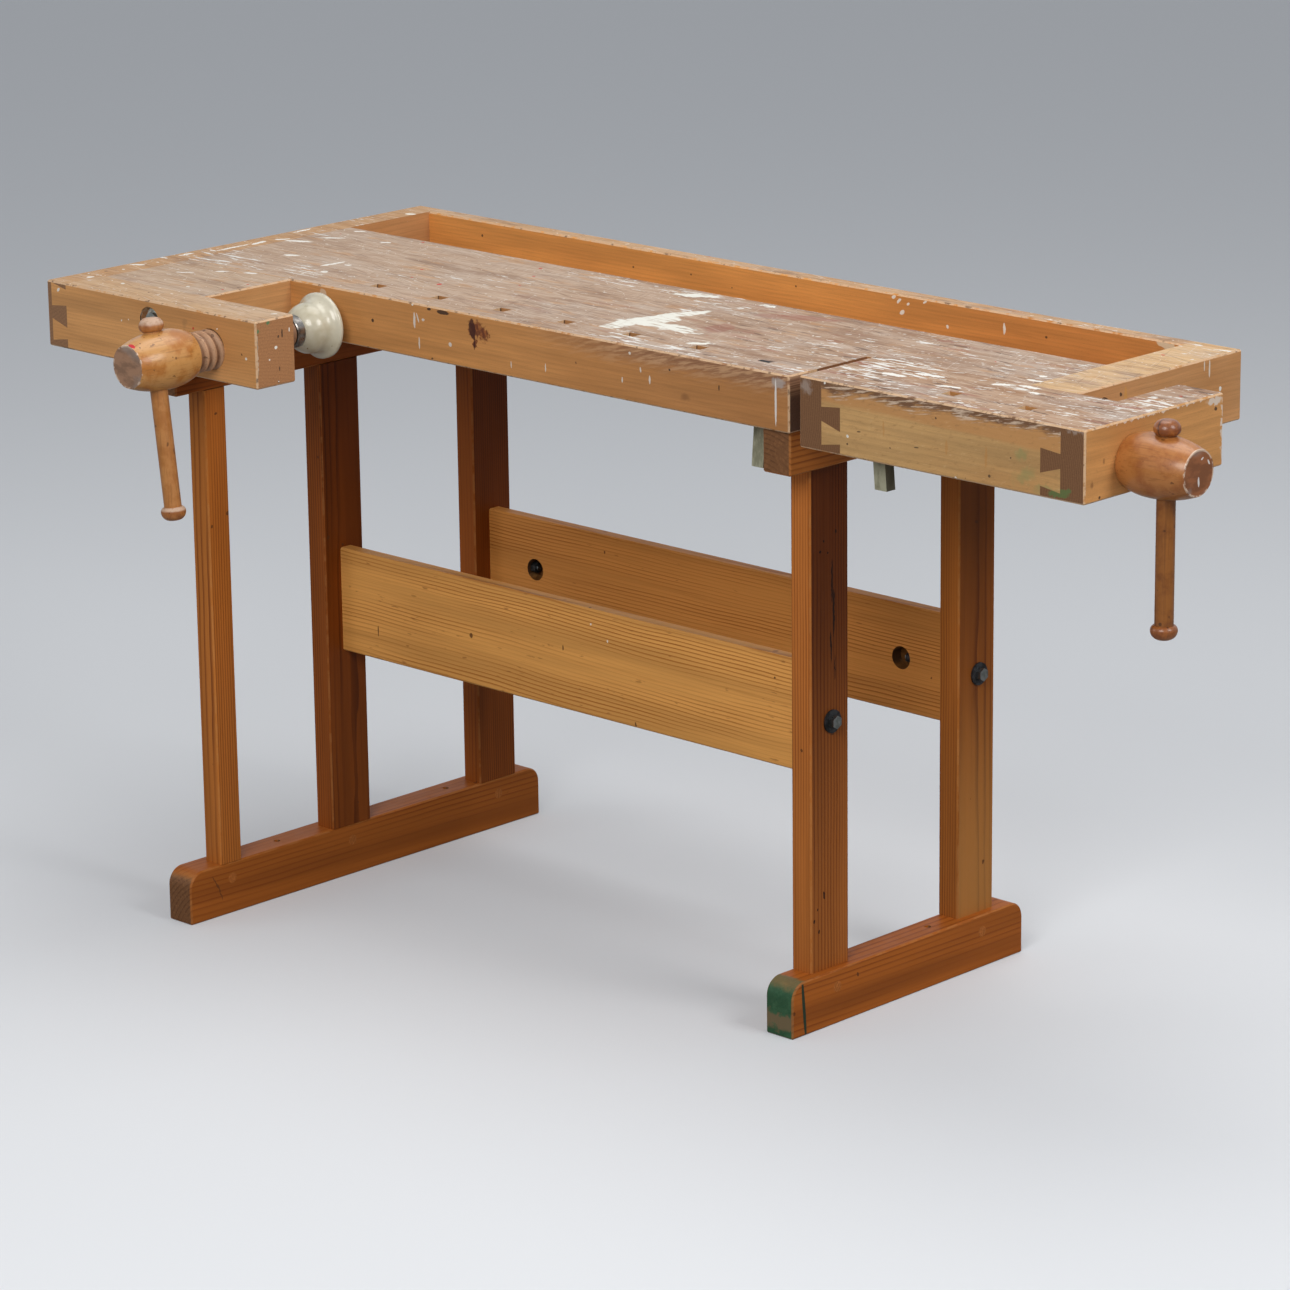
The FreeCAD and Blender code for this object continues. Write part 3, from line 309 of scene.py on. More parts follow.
def beech(node, along, heart, side, end=(0.20, 0.085, 0.035), ring=0.0045, arcs=0.22):
    """Oiled beech: the finish and the colour of its sides and end grain, before any wear."""
    finish = Finish(node + "_beech")
    late = finish.fade(growth(finish, along, heart, ring), 0.3, 1.0)
    fibre = finish.cloud(grain_scales(along, 16.0, 620.0), 2.0, 0.6, 2.0)
    streak = finish.cloud(grain_scales(along, 3.0, 46.0), 4.0, 0.6, 4.0)
    broad = finish.cloud((3.5, 9.0, 9.0), 2.0, 0.5, 6.0)
    fleck = finish.cloud(grain_scales(along, 300.0, 1500.0), 1.0, 0.5, 8.0)
    colour = finish.mix(finish.fade(streak, 0.30, 0.72), scaled(side, 1.13), scaled(side, 0.82))
    colour = finish.mix(finish.fade(broad, 0.42, 0.66) * 0.35, colour, (0.47, 0.20, 0.055))
    colour = finish.mix(late * 0.16 + finish.fade(fibre, 0.45, 0.75) * 0.22, colour,
                        scaled(side, 0.5))
    colour = finish.mix(finish.fade(fleck, 0.60, 0.72) * 0.22, colour, (0.22, 0.11, 0.05))
    speckle = finish.cloud((500.0,) * 3, 2.0, 0.6, 1.0)
    sawn = finish.mix(late * arcs, scaled(end, 1.08), scaled(end, 0.55))
    sawn = finish.mix(finish.fade(speckle, 0.5, 0.7) * 0.4, sawn, scaled(end, 1.5))
    sawn = finish.mix(finish.fade(speckle, 0.42, 0.30) * 0.4, sawn, scaled(end, 0.45))
    colour = finish.mix(finish.fade(abs(finish.facing[along]), 0.6, 0.9), colour, sawn)
    return finish, colour, fibre


def worn_top(finish, colour, fresh=(0.51, 0.375, 0.28), brown=(0.33, 0.20, 0.12), grime=1.0):
    """Everything that lies on the working surface; it runs on from one piece to the next."""
    used = finish.fade(finish.x, 0.30, 1.05) * grime
    streak = finish.cloud((6.0, 75.0, 1.0), 5.0, 0.62, 3.1)
    top = finish.mix(finish.fade(streak, 0.36, 0.70) * (used * 0.35 + 0.55), fresh, brown)
    haze = finish.fade(finish.cloud((5.0, 13.0, 1.0), 4.0, 0.65, 5.7), 0.46, 0.70)
    top = finish.mix(haze * (used * 0.35 + 0.2), top, (0.52, 0.47, 0.43))
    stain = finish.fade(finish.cloud((5.0, 22.0, 1.0), 5.0, 0.65, 11.3) + used * 0.045, 0.54, 0.70)
    top = finish.mix(stain * 0.6, top, (0.21, 0.115, 0.07))
    wine = finish.fade(finish.cloud((10.0, 48.0, 1.0), 4.0, 0.6, 17.9), 0.57, 0.68)
    top = finish.mix(wine * (used * 0.5 + 0.06), top, (0.31, 0.11, 0.08))
    honey_wear = finish.fade(finish.cloud((14.0, 60.0, 1.0), 3.0, 0.6, 14.2), 0.56, 0.66)
    top = finish.mix(honey_wear * 0.55, top, (0.52, 0.29, 0.14))
    top = finish.mix(used * 0.2, top, (0.27, 0.135, 0.07))
    lines = finish.cloud((26.0, 430.0, 1.0), 3.0, 0.6, 7.7)
    top = finish.mix(finish.fade(lines, 0.52, 0.74) * 0.6, top, (0.22, 0.13, 0.08))
    top = finish.mix(finish.fade(lines, 0.48, 0.28) * 0.5, top, (0.68, 0.56, 0.46))
    dashes = finish.cloud((20.0, 170.0, 1.0), 3.0, 0.55, 21.7, (0, 0, 5))
    top = finish.mix(finish.fade(dashes, 0.60, 0.67) * (used * 0.55 + 0.2), top,
                     (0.14, 0.085, 0.06))
    for angle, seed, strength in ((17.0, 31.0, 0.55), (-24.0, 33.0, 0.5), (68.0, 35.0, 0.35)):
        cuts = finish.cloud((11.0, 420.0, 1.0), 2.0, 0.5, seed, (0, 0, angle))
        top = finish.mix(finish.fade(cuts, 0.66, 0.70) * strength, top, (0.20, 0.12, 0.08))
        top = finish.mix(finish.fade(cuts, 0.31, 0.28) * strength, top, (0.74, 0.66, 0.58))
    brushed = finish.cloud((24.0, 165.0, 1.0), 3.0, 0.6, 23.9)
    where = finish.cloud((4.5, 9.0, 1.0), 2.0, 0.5, 29.3) - 0.5
    dabs = finish.cloud((52.0, 190.0, 1.0), 2.0, 0.55, 47.0, (0, 0, -17))
    paint = finish.fade(brushed + where * 0.55 + used * 0.06, 0.70, 0.73)
    paint = paint.math("MAXIMUM", paint, finish.fade(dabs + where * 0.25 + used * 0.075, 0.735, 0.76))
    top = finish.mix(paint, top, (0.76, 0.74, 0.70))
    crumbs = finish.cloud((150.0, 190.0, 1.0), 1.0, 0.5, 41.0)
    top = finish.mix(finish.fade(crumbs, 0.735, 0.75) * 0.9, top, (0.80, 0.76, 0.68))
    drops = finish.cloud((70.0, 95.0, 1.0), 0.0, 0.5, 43.0)
    top = finish.mix(finish.fade(drops, 0.865, 0.88), top, (0.50, 0.03, 0.03))
    return finish.mix(finish.up, colour, top), paint * finish.up


def specks(finish, colour, amount=0.845):
    """A few white and dark paint specks and pin pricks on the sides."""
    pale_specks = finish.cloud((85.0,) * 3, 0.0, 0.5, 51.0)
    colour = finish.mix(finish.fade(pale_specks, amount, amount + 0.015), colour,
                        (0.74, 0.72, 0.66))
    dark_specks = finish.cloud((95.0,) * 3, 0.0, 0.5, 57.0)
    return finish.mix(finish.fade(dark_specks, amount, amount + 0.015) * 0.9, colour,
                      (0.07, 0.035, 0.02))


def oiled(finish, colour, fibre, paint=0.0, arris=(0.62, 0.42, 0.26), rough=0.55):
    """Rub the arrises pale, and give the wood its dull sheen and fine texture."""
    rubbed = finish.cloud((60.0,) * 3, 3.0, 0.7, 61.0)
    colour = finish.mix(finish.arris * finish.fade(rubbed, 0.34, 0.50) * 0.85, colour, arris)
    colour = finish.mix(finish.arris * finish.fade(rubbed, 0.58, 0.66) * 0.8, colour,
                        (0.16, 0.09, 0.05))
    finish.feed(finish.shader.inputs["Base Color"], colour)
    finish.feed(finish.shader.inputs["Roughness"], finish.up * 0.17 + fibre * 0.1 + rough)
    finish.shader.inputs["Specular IOR Level"].default_value = 0.3
    dents = finish.cloud((45.0, 60.0, 60.0), 4.0, 0.6, 67.0)
    finish.bump(fibre * 0.22 + dents * 0.6 + paint * 0.5 + rubbed * finish.arris * 1.2, 0.45, 0.0012)
    return finish.material


def dress(node, material):
    frame["nodes"][node].material_slots[0].material = material


white_paint = (0.82, 0.79, 0.73)

slab, slab_colour, slab_fibre = beech("slab", "X", (0.15, 0.95), (0.50, 0.25, 0.10))
slab_colour, slab_paint = worn_top(slab, slab_colour)
smears = slab.patches("top", (
    (0.752, 0.088, 0.017, 0.052, 0), (0.766, 0.158, 0.014, 0.058, -22),
    (0.790, 0.106, 0.066, 0.013, 8), (0.835, 0.098, 0.038, 0.008, 4),
    (0.708, 0.264, 0.034, 0.011, 24), (0.900, 0.060, 0.018, 0.006, 30),
    (0.818, 0.274, 0.014, 0.005, 10), (0.776, 0.130, 0.020, 0.024, -20)), 0.022, 60.0)
brush_lines = slab.cloud((26.0, 240.0, 1.0), 3.0, 0.6, 71.0)
slab_colour = slab.mix(smears * slab.fade(brush_lines, 0.34, 0.47), slab_colour, (0.80, 0.79, 0.72))
wine_rings = slab.patches("top", (
    (0.862, 0.140, 0.018, 0.030, 20), (0.892, 0.246, 0.062, 0.016, 22),
    (0.923, 0.262, 0.022, 0.007, 0), (1.118, 0.264, 0.016, 0.005, 0),
    (1.162, 0.235, 0.020, 0.006, 12)), 0.020, 90.0)
slab_colour = slab.mix(wine_rings * 0.4, slab_colour, (0.27, 0.085, 0.06))
white_strokes = slab.patches("top", (
    (0.058, 0.176, 0.024, 0.005, 25), (0.078, 0.222, 0.020, 0.004, 36),
    (0.123, 0.106, 0.013, 0.005, 30), (0.207, 0.103, 0.004, 0.022, -5),
    (0.237, 0.060, 0.006, 0.005, 0), (0.228, 0.110, 0.006, 0.004, 0),
    (0.156, 0.246, 0.009, 0.004, 20), (1.321, 0.144, 0.012, 0.004, 35),
    (1.337, 0.168, 0.014, 0.004, 0), (1.329, 0.192, 0.006, 0.005, 0),
    (0.073, 0.276, 0.010, 0.004, 30)), 0.008)
slab_colour = slab.mix(white_strokes, slab_colour, white_paint)
red_drop = slab.patches("top", ((0.408, 0.102, 0.004, 0.004, 0),), 0.003)
slab_colour = slab.mix(red_drop, slab_colour, (0.55, 0.01, 0.02))
dress("slab", oiled(slab, slab_colour, slab_fibre, slab_paint + smears))


# ---------------------------------------------------------------- dog hole strip and apron
# Blocks of beech stand between the leaning dog holes. The apron is one beech board glued in
# front of them, smooth and orange brown, with a dark red blot, drips of paint and a scuffed
# top edge towards the tail vise.
strip, strip_colour, strip_fibre = beech("dog_strip_blocks", "X", (0.02, 0.74), (0.50, 0.25, 0.10),
                                         (0.60, 0.40, 0.23))
# Painted shade: the side walls of each dog hole are darkened towards the back of the hole.
hole_corner_shade = strip.fade(strip.y, 0.0488, 0.0508) * abs(strip.facing["X"])
strip_colour = strip.mix(hole_corner_shade * 0.9, strip_colour, (0.09, 0.04, 0.02))
strip_colour, strip_paint = worn_top(strip, strip_colour)
dress("dog_strip_blocks", oiled(strip, strip_colour, strip_fibre, strip_paint))

# The apron's end grain is dark end-grain colour deepened with painted shade for its right end, which
# faces the gap at the tail vise.
apron, apron_colour, apron_fibre = beech("apron", "X", (0.06, 0.70), (0.61, 0.28, 0.088),
                                         (0.12, 0.065, 0.04))
# The apron darkens towards its right end.
darker_to_right = apron.fade(apron.x, 0.50, 1.00)
apron_colour = apron.mix(darker_to_right * 0.85, apron_colour, (0.70, 0.68, 0.72), "MULTIPLY")
scuffs = apron.cloud((26.0, 1.0, 210.0), 4.0, 0.6, 73.0, (0, 14, 0))
near_top = apron.fade(apron.z + (scuffs - 0.5) * 0.03, 0.800, 0.822)
apron_colour = apron.mix(near_top * apron.fade(apron.x, 0.62, 0.90) * 0.75, apron_colour,
                         apron.mix(apron.fade(scuffs, 0.42, 0.60), (0.21, 0.10, 0.06),
                                   (0.50, 0.30, 0.17)))
brown_marks = apron.patches("front", (
    (0.391, 0.797, 0.0026, 0.0026, 0), (0.991, 0.799, 0.0012, 0.004, 0),
    (0.910, 0.809, 0.0016, 0.0016, 0), (0.495, 0.826, 0.004, 0.002, 0),
    (0.520, 0.825, 0.012, 0.003, 0)), 0.0015)
apron_colour = apron.mix(brown_marks * 0.95, apron_colour, (0.05, 0.025, 0.015))
knot = apron.patches("front", ((0.936, 0.779, 0.011, 0.006, 12),), 0.008, 140.0, 0.2)
apron_colour = apron.mix(knot * 0.6, apron_colour, (0.20, 0.085, 0.03))
blot = apron.patches("front", (
    (0.577, 0.812, 0.013, 0.014, 0), (0.592, 0.808, 0.011, 0.011, 0), (0.576, 0.797, 0.003, 0.012, 0)),
    0.024, 170.0, 0.55)
clotted = apron.cloud((150.0, 1.0, 110.0), 3.0, 0.6, 75.0)
apron_colour = apron.mix(blot * 0.9, apron_colour, apron.mix(
    apron.fade(clotted, 0.45, 0.62), (0.095, 0.016, 0.007), (0.26, 0.075, 0.02)))
blot_heart = apron.patches("front", (
    (0.572, 0.812, 0.006, 0.014, 8), (0.575, 0.793, 0.0016, 0.009, 0)), 0.006)
apron_colour = apron.mix(blot_heart * 0.9, apron_colour, (0.045, 0.010, 0.006))
drips = apron.patches("front", (
    (0.468, 0.808, 0.0022, 0.011, 0), (0.474, 0.812, 0.0012, 0.007, 20),
    (0.476, 0.780, 0.0013, 0.009, 0), (0.484, 0.811, 0.003, 0.002, 0),
    (0.532, 0.786, 0.003, 0.003, 0), (0.844, 0.820, 0.0022, 0.002, 0),
    (0.831, 0.785, 0.0012, 0.004, 0), (0.877, 0.792, 0.0016, 0.006, 0),
    (0.640, 0.776, 0.001, 0.005, 0), (0.700, 0.781, 0.001, 0.006, 0),
    (0.862, 0.802, 0.0012, 0.004, 10)), 0.002)
apron_colour = apron.mix(drips * 0.85, apron_colour, (0.70, 0.66, 0.60))
white_run = apron.patches("front", ((1.082, 0.795, 0.0018, 0.031, 0),), 0.0015)
grey_smear = apron.patches("front", ((1.086, 0.819, 0.014, 0.008, 8),), 0.014, 160.0, 0.5)
apron_colour = apron.mix(grey_smear * 0.7, apron_colour, (0.40, 0.36, 0.34))
apron_colour = apron.mix(white_run * 0.9, apron_colour, (0.72, 0.69, 0.66))
chip = apron.patches("front", ((0.300, 0.818, 0.007, 0.009, 25),), 0.004)
apron_colour = apron.mix(chip * 0.7, apron_colour, (0.66, 0.52, 0.38))
apron_colour = specks(apron, apron_colour)
apron_colour, apron_paint = worn_top(apron, apron_colour)
dress("apron", oiled(apron, apron_colour, apron_fibre, apron_paint))


# ---------------------------------------------------------------- end caps, arm and spacer
# Beech end caps close the top at both ends. The left one runs forward and is dovetailed to the
# arm of the shoulder vise, whose end grain shows at its right, and a spacer block fills the
# corner. All are worn pale on top, with strokes of white paint along the left end.
left_cap, cap_colour, cap_fibre = beech("left_end_cap", "Y", (-0.05, 0.90), (0.50, 0.25, 0.10),
                                        (0.25, 0.13, 0.065))
cap_colour, cap_paint = worn_top(left_cap, cap_colour, (0.53, 0.315, 0.160), (0.41, 0.215, 0.095), 0.4)
cap_strokes = left_cap.patches("top", (
    (0.015, -0.067, 0.012, 0.004, 40), (0.004, -0.015, 0.010, 0.003, 10),
    (0.025, 0.090, 0.003, 0.034, 0), (0.027, 0.135, 0.004, 0.016, 10),
    (0.020, 0.060, 0.006, 0.003, 0), (0.033, 0.172, 0.004, 0.012, -30),
    (0.012, 0.020, 0.003, 0.014, 0), (0.009, 0.230, 0.003, 0.020, 5),
    (0.030, -0.160, 0.004, 0.006, 0)), 0.008)
cap_colour = left_cap.mix(cap_strokes, cap_colour, white_paint)
triangle = left_cap.patches("top", ((0.036, 0.406, 0.009, 0.006, 20),), 0.004)
cap_colour = left_cap.mix(triangle, cap_colour, (0.84, 0.80, 0.70))
dress("left_end_cap", oiled(left_cap, specks(left_cap, cap_colour), cap_fibre, cap_paint))


def middle_of(node):
    low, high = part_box(node)
    return (low + high) / 2 - on_bench(0, 0, 0)


def from_axis(finish, along, centre):
    """How far a point lies from an axis through a centre."""
    across = finish.y - centre.y if along == "X" else finish.x - centre.x
    rise = finish.z - centre.z
    return (across * across + rise * rise) ** 0.5


arm, arm_colour, arm_fibre = beech("arm", "X", (-0.25, 0.40), (0.63, 0.315, 0.115),
                                   (0.37, 0.175, 0.075))
arm_colour, arm_paint = worn_top(arm, arm_colour, (0.58, 0.385, 0.225), (0.43, 0.24, 0.12), 0.4)
arm_marks = arm.patches("front", (
    (0.023, 0.820, 0.004, 0.002, 40), (0.383, 0.781, 0.0022, 0.002, 0),
    (0.330, 0.812, 0.0016, 0.001, 0), (0.160, 0.800, 0.001, 0.001, 0)), 0.002)
arm_colour = arm.mix(arm_marks, arm_colour, (0.78, 0.74, 0.66))
arm_red = arm.patches("front", ((0.285, 0.806, 0.0022, 0.002, 30),), 0.002)
arm_colour = arm.mix(arm_red, arm_colour, (0.55, 0.06, 0.03))
arm_smudge = arm.patches("front", (
    (0.269, 0.811, 0.006, 0.010, 0), (0.215, 0.776, 0.014, 0.008, 20)), 0.012, 140.0, 0.2)
arm_colour = arm.mix(arm_smudge * 0.35, arm_colour, (0.24, 0.13, 0.06))
worn_corner = arm.patches("end", ((-0.2075, 0.787, 0.003, 0.040, 0),), 0.008)
arm_colour = arm.mix(worn_corner * 0.75, arm_colour, (0.60, 0.48, 0.36))
dark_nicks = arm.patches("end", (
    (-0.207, 0.800, 0.0016, 0.012, 0), (-0.207, 0.762, 0.0014, 0.010, 0),
    (-0.164, 0.809, 0.0016, 0.006, 0), (-0.1705, 0.806, 0.0018, 0.002, 0),
    (-0.172, 0.749, 0.0012, 0.0022, 0), (-0.170, 0.765, 0.001, 0.003, 0)), 0.003)
arm_colour = arm.mix(dark_nicks * 0.9, arm_colour, (0.06, 0.035, 0.025))
white_filler = arm.patches("end", (
    (-0.175, 0.793, 0.0026, 0.0024, 0), (-0.186, 0.779, 0.0012, 0.0014, 0),
    (-0.172, 0.749, 0.001, 0.001, 0), (-0.152, 0.812, 0.001, 0.003, 0)), 0.0015)
arm_colour = arm.mix(white_filler, arm_colour, (0.84, 0.81, 0.74))
green_specks = arm.patches("end", (
    (-0.187, 0.826, 0.003, 0.0022, 0), (-0.204, 0.818, 0.0016, 0.003, 0)), 0.003)
arm_colour = arm.mix(green_specks * 0.8, arm_colour, (0.06, 0.22, 0.10))
from_bolt = from_axis(arm, "Y", middle_of("arm_bolt"))
ferrule = arm.fade(from_bolt, 0.0180, 0.0175) * arm.fade(arm.y, -0.2076, -0.2070)
ferrule_cloud = arm.cloud((160.0,) * 3, 2.0, 0.6, 93.0)
arm_colour = arm.mix(ferrule, specks(arm, arm_colour), arm.mix(
    arm.fade(ferrule_cloud, 0.42, 0.58), (0.62, 0.66, 0.62), (0.17, 0.24, 0.20)))
dress("arm", oiled(arm, arm_colour, arm_fibre, arm_paint))

spacer, spacer_colour, spacer_fibre = beech("arm_spacer", "Y", (0.10, 0.70), (0.56, 0.29, 0.115))
spacer_colour, spacer_paint = worn_top(spacer, spacer_colour, (0.53, 0.39, 0.28),
                                       (0.37, 0.23, 0.14), 0.6)
spacer_paint_marks = spacer.patches("top", (
    (0.133, -0.025, 0.010, 0.004, 30), (0.170, -0.008, 0.012, 0.004, 20),
    (0.100, -0.060, 0.014, 0.003, 35)), 0.008)
spacer_colour = spacer.mix(spacer_paint_marks, spacer_colour, (0.80, 0.77, 0.72))
dress("arm_spacer", oiled(spacer, specks(spacer, spacer_colour), spacer_fibre, spacer_paint))

right_cap, cap_colour, cap_fibre = beech("right_end_cap", "Y", (1.30, 0.90), (0.57, 0.285, 0.115))
cap_colour, cap_paint = worn_top(right_cap, cap_colour, (0.68, 0.46, 0.25), (0.52, 0.31, 0.14), 0.3)
cap_drips = right_cap.patches("end", (
    (0.396, 0.817, 0.0016, 0.012, 0), (0.386, 0.822, 0.0012, 0.007, 0),
    (0.262, 0.800, 0.001, 0.010, 0)), 0.0015)
cap_colour = right_cap.mix(cap_drips * 0.8, cap_colour, (0.74, 0.68, 0.60))
yellow_drip = right_cap.patches("end", ((0.237, 0.812, 0.003, 0.012, 0),), 0.003)
cap_colour = right_cap.mix(yellow_drip * 0.6, cap_colour, (0.62, 0.30, 0.06))
dress("right_end_cap", oiled(right_cap, specks(right_cap, cap_colour), cap_fibre, cap_paint))


# ---------------------------------------------------------------- back rail and tray floor
# A beech rail stands up at the back and holds the thin floor of the tool tray in a groove. Its
# inner face is deep orange and clean, with white splashes near the middle and the right end.
rail, rail_colour, rail_fibre = beech("back_rail", "X", (0.50, 0.66), (0.72, 0.325, 0.085))
shaded_end = rail.fade(rail.x, 0.70, 1.20) * 0.85
rail_colour = rail.mix(shaded_end, rail_colour, (0.78, 0.68, 0.66), "MULTIPLY")
rail_dots = rail.patches("front", (
    (0.722, 0.817, 0.0016, 0.0014, 0), (0.537, 0.808, 0.0016, 0.0014, 0),
    (0.432, 0.804, 0.0018, 0.0014, 0), (0.147, 0.810, 0.002, 0.002, 0),
    (1.136, 0.809, 0.0022, 0.0018, 0), (0.610, 0.800, 0.0012, 0.001, 0)), 0.001)
rail_colour = rail.mix(rail_dots * 0.9, rail_colour, (0.07, 0.03, 0.015))
rail_splashes = rail.patches("front", (
    (0.888, 0.826, 0.004, 0.002, 30), (0.897, 0.822, 0.005, 0.0022, 40),
    (0.902, 0.808, 0.005, 0.0028, 40), (0.912, 0.820, 0.0028, 0.0018, 30),
    (1.069, 0.810, 0.0022, 0.008, 0), (0.977, 0.800, 0.002, 0.0026, 0),
    (0.940, 0.826, 0.004, 0.0014, 20)), 0.003)
rail_colour = rail.mix(rail_splashes, rail_colour, (0.80, 0.76, 0.68))
cream_patch = rail.patches("front", ((1.322, 0.826, 0.018, 0.006, -12),), 0.006)
rail_colour = rail.mix(cream_patch * 0.8, rail_colour, (0.74, 0.62, 0.44))
rail_colour, rail_paint = worn_top(rail, rail_colour, (0.58, 0.37, 0.21), (0.44, 0.24, 0.11), 0.5)
rail_scuffs = rail.patches("top", (
    (1.195, 0.402, 0.018, 0.005, 5), (1.220, 0.398, 0.010, 0.003, 0)), 0.008)
rail_colour = rail.mix(rail_scuffs, rail_colour, (0.80, 0.76, 0.70))
dress("back_rail", oiled(rail, rail_colour, rail_fibre, rail_paint))

tray, tray_colour, tray_fibre = beech("tray_floor", "X", (0.36, 0.60), (0.46, 0.22, 0.08))
tray_dust = tray.fade(tray.cloud((7.0, 16.0, 1.0), 4.0, 0.65, 3.0), 0.42, 0.66)
tray_colour = tray.mix(tray_dust * 0.55, tray_colour, (0.30, 0.19, 0.12))
dress("tray_floor", oiled(tray, specks(tray, tray_colour, 0.78), tray_fibre))


# ---------------------------------------------------------------- tail vise
# A box of beech that slides along the bench's right front corner. Its front board is pale and
# yellowish below an orange band, dovetailed at both ends to blocks whose dark end grain shows,
# and its splintered top edges are full of white paint.
def tail_top(finish, colour):
    return worn_top(finish, colour, (0.52, 0.37, 0.26), (0.33, 0.185, 0.10), 1.4)


board, board_colour, board_fibre = beech("tail_front_board", "X", (0.10, 0.70), (0.52, 0.31, 0.125))
wander = board.cloud((12.0, 1.0, 60.0), 3.0, 0.6, 81.0) - 0.5
band = board.fade(board.z + (board.x - 1.155) * 0.020 + wander * 0.012, 0.806, 0.811)
board_colour = board.mix(band * 0.7, board_colour, (0.52, 0.25, 0.088))
splinters = board.cloud((28.0, 1.0, 290.0), 4.0, 0.65, 83.0, (0, 9, 0))
bruises = board.cloud((16.0, 1.0, 40.0), 3.0, 0.6, 85.0)
torn_edge = board.fade(board.z + (splinters - 0.5) * 0.030 + (bruises - 0.5) * 0.036, 0.817, 0.826)
board_colour = board.mix(torn_edge * 0.85, board_colour, board.mix(
    board.fade(splinters, 0.50, 0.60), (0.11, 0.052, 0.032), (0.62, 0.49, 0.38)))
flecks = board.cloud((75.0, 1.0, 230.0), 4.0, 0.65, 87.0, (0, 12, 0))
board_colour = board.mix(board.fade(flecks, 0.54, 0.70) * 0.5, board_colour, (0.30, 0.16, 0.06))
board_colour = board.mix(board.fade(flecks, 0.42, 0.32) * 0.25, board_colour, (0.68, 0.46, 0.24))
board_dots = board.patches("front", (
    (1.329, 0.814, 0.0016, 0.0014, 0), (1.409, 0.759, 0.0022, 0.002, 0),
    (1.212, 0.780, 0.003, 0.001, 8), (1.300, 0.775, 0.004, 0.0009, 5),
    (1.260, 0.768, 0.0012, 0.0012, 0), (1.440, 0.785, 0.0012, 0.0012, 0)), 0.0015)
board_colour = board.mix(board_dots * 0.85, board_colour, (0.08, 0.045, 0.025))
orange_runs = board.patches("front", (
    (1.345, 0.782, 0.002, 0.010, 0), (1.404, 0.780, 0.002, 0.014, 0),
    (1.250, 0.790, 0.0016, 0.010, 5)), 0.003)
board_colour = board.mix(orange_runs * 0.45, board_colour, (0.48, 0.21, 0.05))
green_smear = board.patches("front", (
    (1.462, 0.768, 0.026, 0.012, 25), (1.492, 0.756, 0.024, 0.007, 10),
    (1.455, 0.792, 0.014, 0.008, 20)), 0.022, 110.0, 0.1)
board_colour = board.mix(green_smear * 0.5, board_colour, (0.23, 0.26, 0.10))
board_colour = specks(board, board_colour)
board_colour, board_paint = tail_top(board, board_colour)
dress("tail_front_board", oiled(board, board_colour, board_fibre, board_paint))

for node, heart in (("tail_jaw_block", (0.95, 0.80)), ("tail_end_block", (1.36, 0.77))):
    block, block_colour, block_fibre = beech(node, "Y", heart, (0.62, 0.30, 0.10),
                                             (0.175, 0.082, 0.036), 0.0032, 0.5)
    if node == "tail_end_block":
        green_corner = block.patches("front", ((1.512, 0.756, 0.018, 0.006, 12),), 0.012)
        block_colour = block.mix(green_corner * 0.8, block_colour, (0.10, 0.16, 0.05))
        knots = block.patches("end", (
            (0.013, 0.768, 0.004, 0.006, 0), (0.034, 0.792, 0.003, 0.004, 0)), 0.006, 140.0, 0.3)
        block_colour = block.mix(knots * 0.6, block_colour, (0.16, 0.065, 0.025))
        rubbed_rims = block.patches("end", (
            (0.250, 0.790, 0.003, 0.046, 0), (0.235, 0.826, 0.018, 0.006, 0),
            (0.130, 0.832, 0.120, 0.0022, 0)), 0.014, 160.0, 0.6)
        block_colour = block.mix(rubbed_rims * 0.8, block_colour, (0.70, 0.62, 0.54))
        dark_rim = block.patches("end", ((0.0005, 0.790, 0.0022, 0.044, 0),), 0.005)
        block_colour = block.mix(dark_rim * 0.6, block_colour, (0.20, 0.13, 0.10))
    pale_corner = block.patches("front", (
        (1.130, 0.822, 0.012, 0.012, 0), (1.533, 0.830, 0.016, 0.004, 0)), 0.018, 160.0, 0.3)
    block_colour = block.mix(pale_corner * 0.4, block_colour, (0.48, 0.42, 0.38))
    block_colour, block_paint = tail_top(block, specks(block, block_colour))
    dress(node, oiled(block, block_colour, block_fibre, block_paint))

for node in ("tail_cover", "tail_strip_blocks", "tail_liner", "tail_sole"):
    piece, piece_colour, piece_fibre = beech(node, "X", (0.08, 0.70), (0.50, 0.25, 0.095),
                                             (0.58, 0.38, 0.21))
    piece_colour, piece_paint = tail_top(piece, piece_colour)
    if node == "tail_cover":
        tail_white = piece.patches("top", (
            (1.200, 0.075, 0.020, 0.006, 0), (1.235, 0.100, 0.024, 0.005, 5),
            (1.330, 0.118, 0.016, 0.005, 30), (1.362, 0.128, 0.018, 0.005, 0),
            (1.385, 0.108, 0.010, 0.004, 0), (1.290, 0.070, 0.018, 0.004, 8)), 0.010)
        piece_colour = piece.mix(tail_white, piece_colour, (0.82, 0.80, 0.75))
    dress(node, oiled(piece, piece_colour, piece_fibre, piece_paint))
for node, along, heart in (("tail_nut", "Y", (1.33, 0.72)), ("tail_key", "Y", (1.50, 0.70)),
                           ("tail_guide", "X", (0.05, 0.70))):
    piece, piece_colour, piece_fibre = beech(node, along, heart, (0.54, 0.27, 0.10))
    dress(node, oiled(piece, piece_colour, piece_fibre))
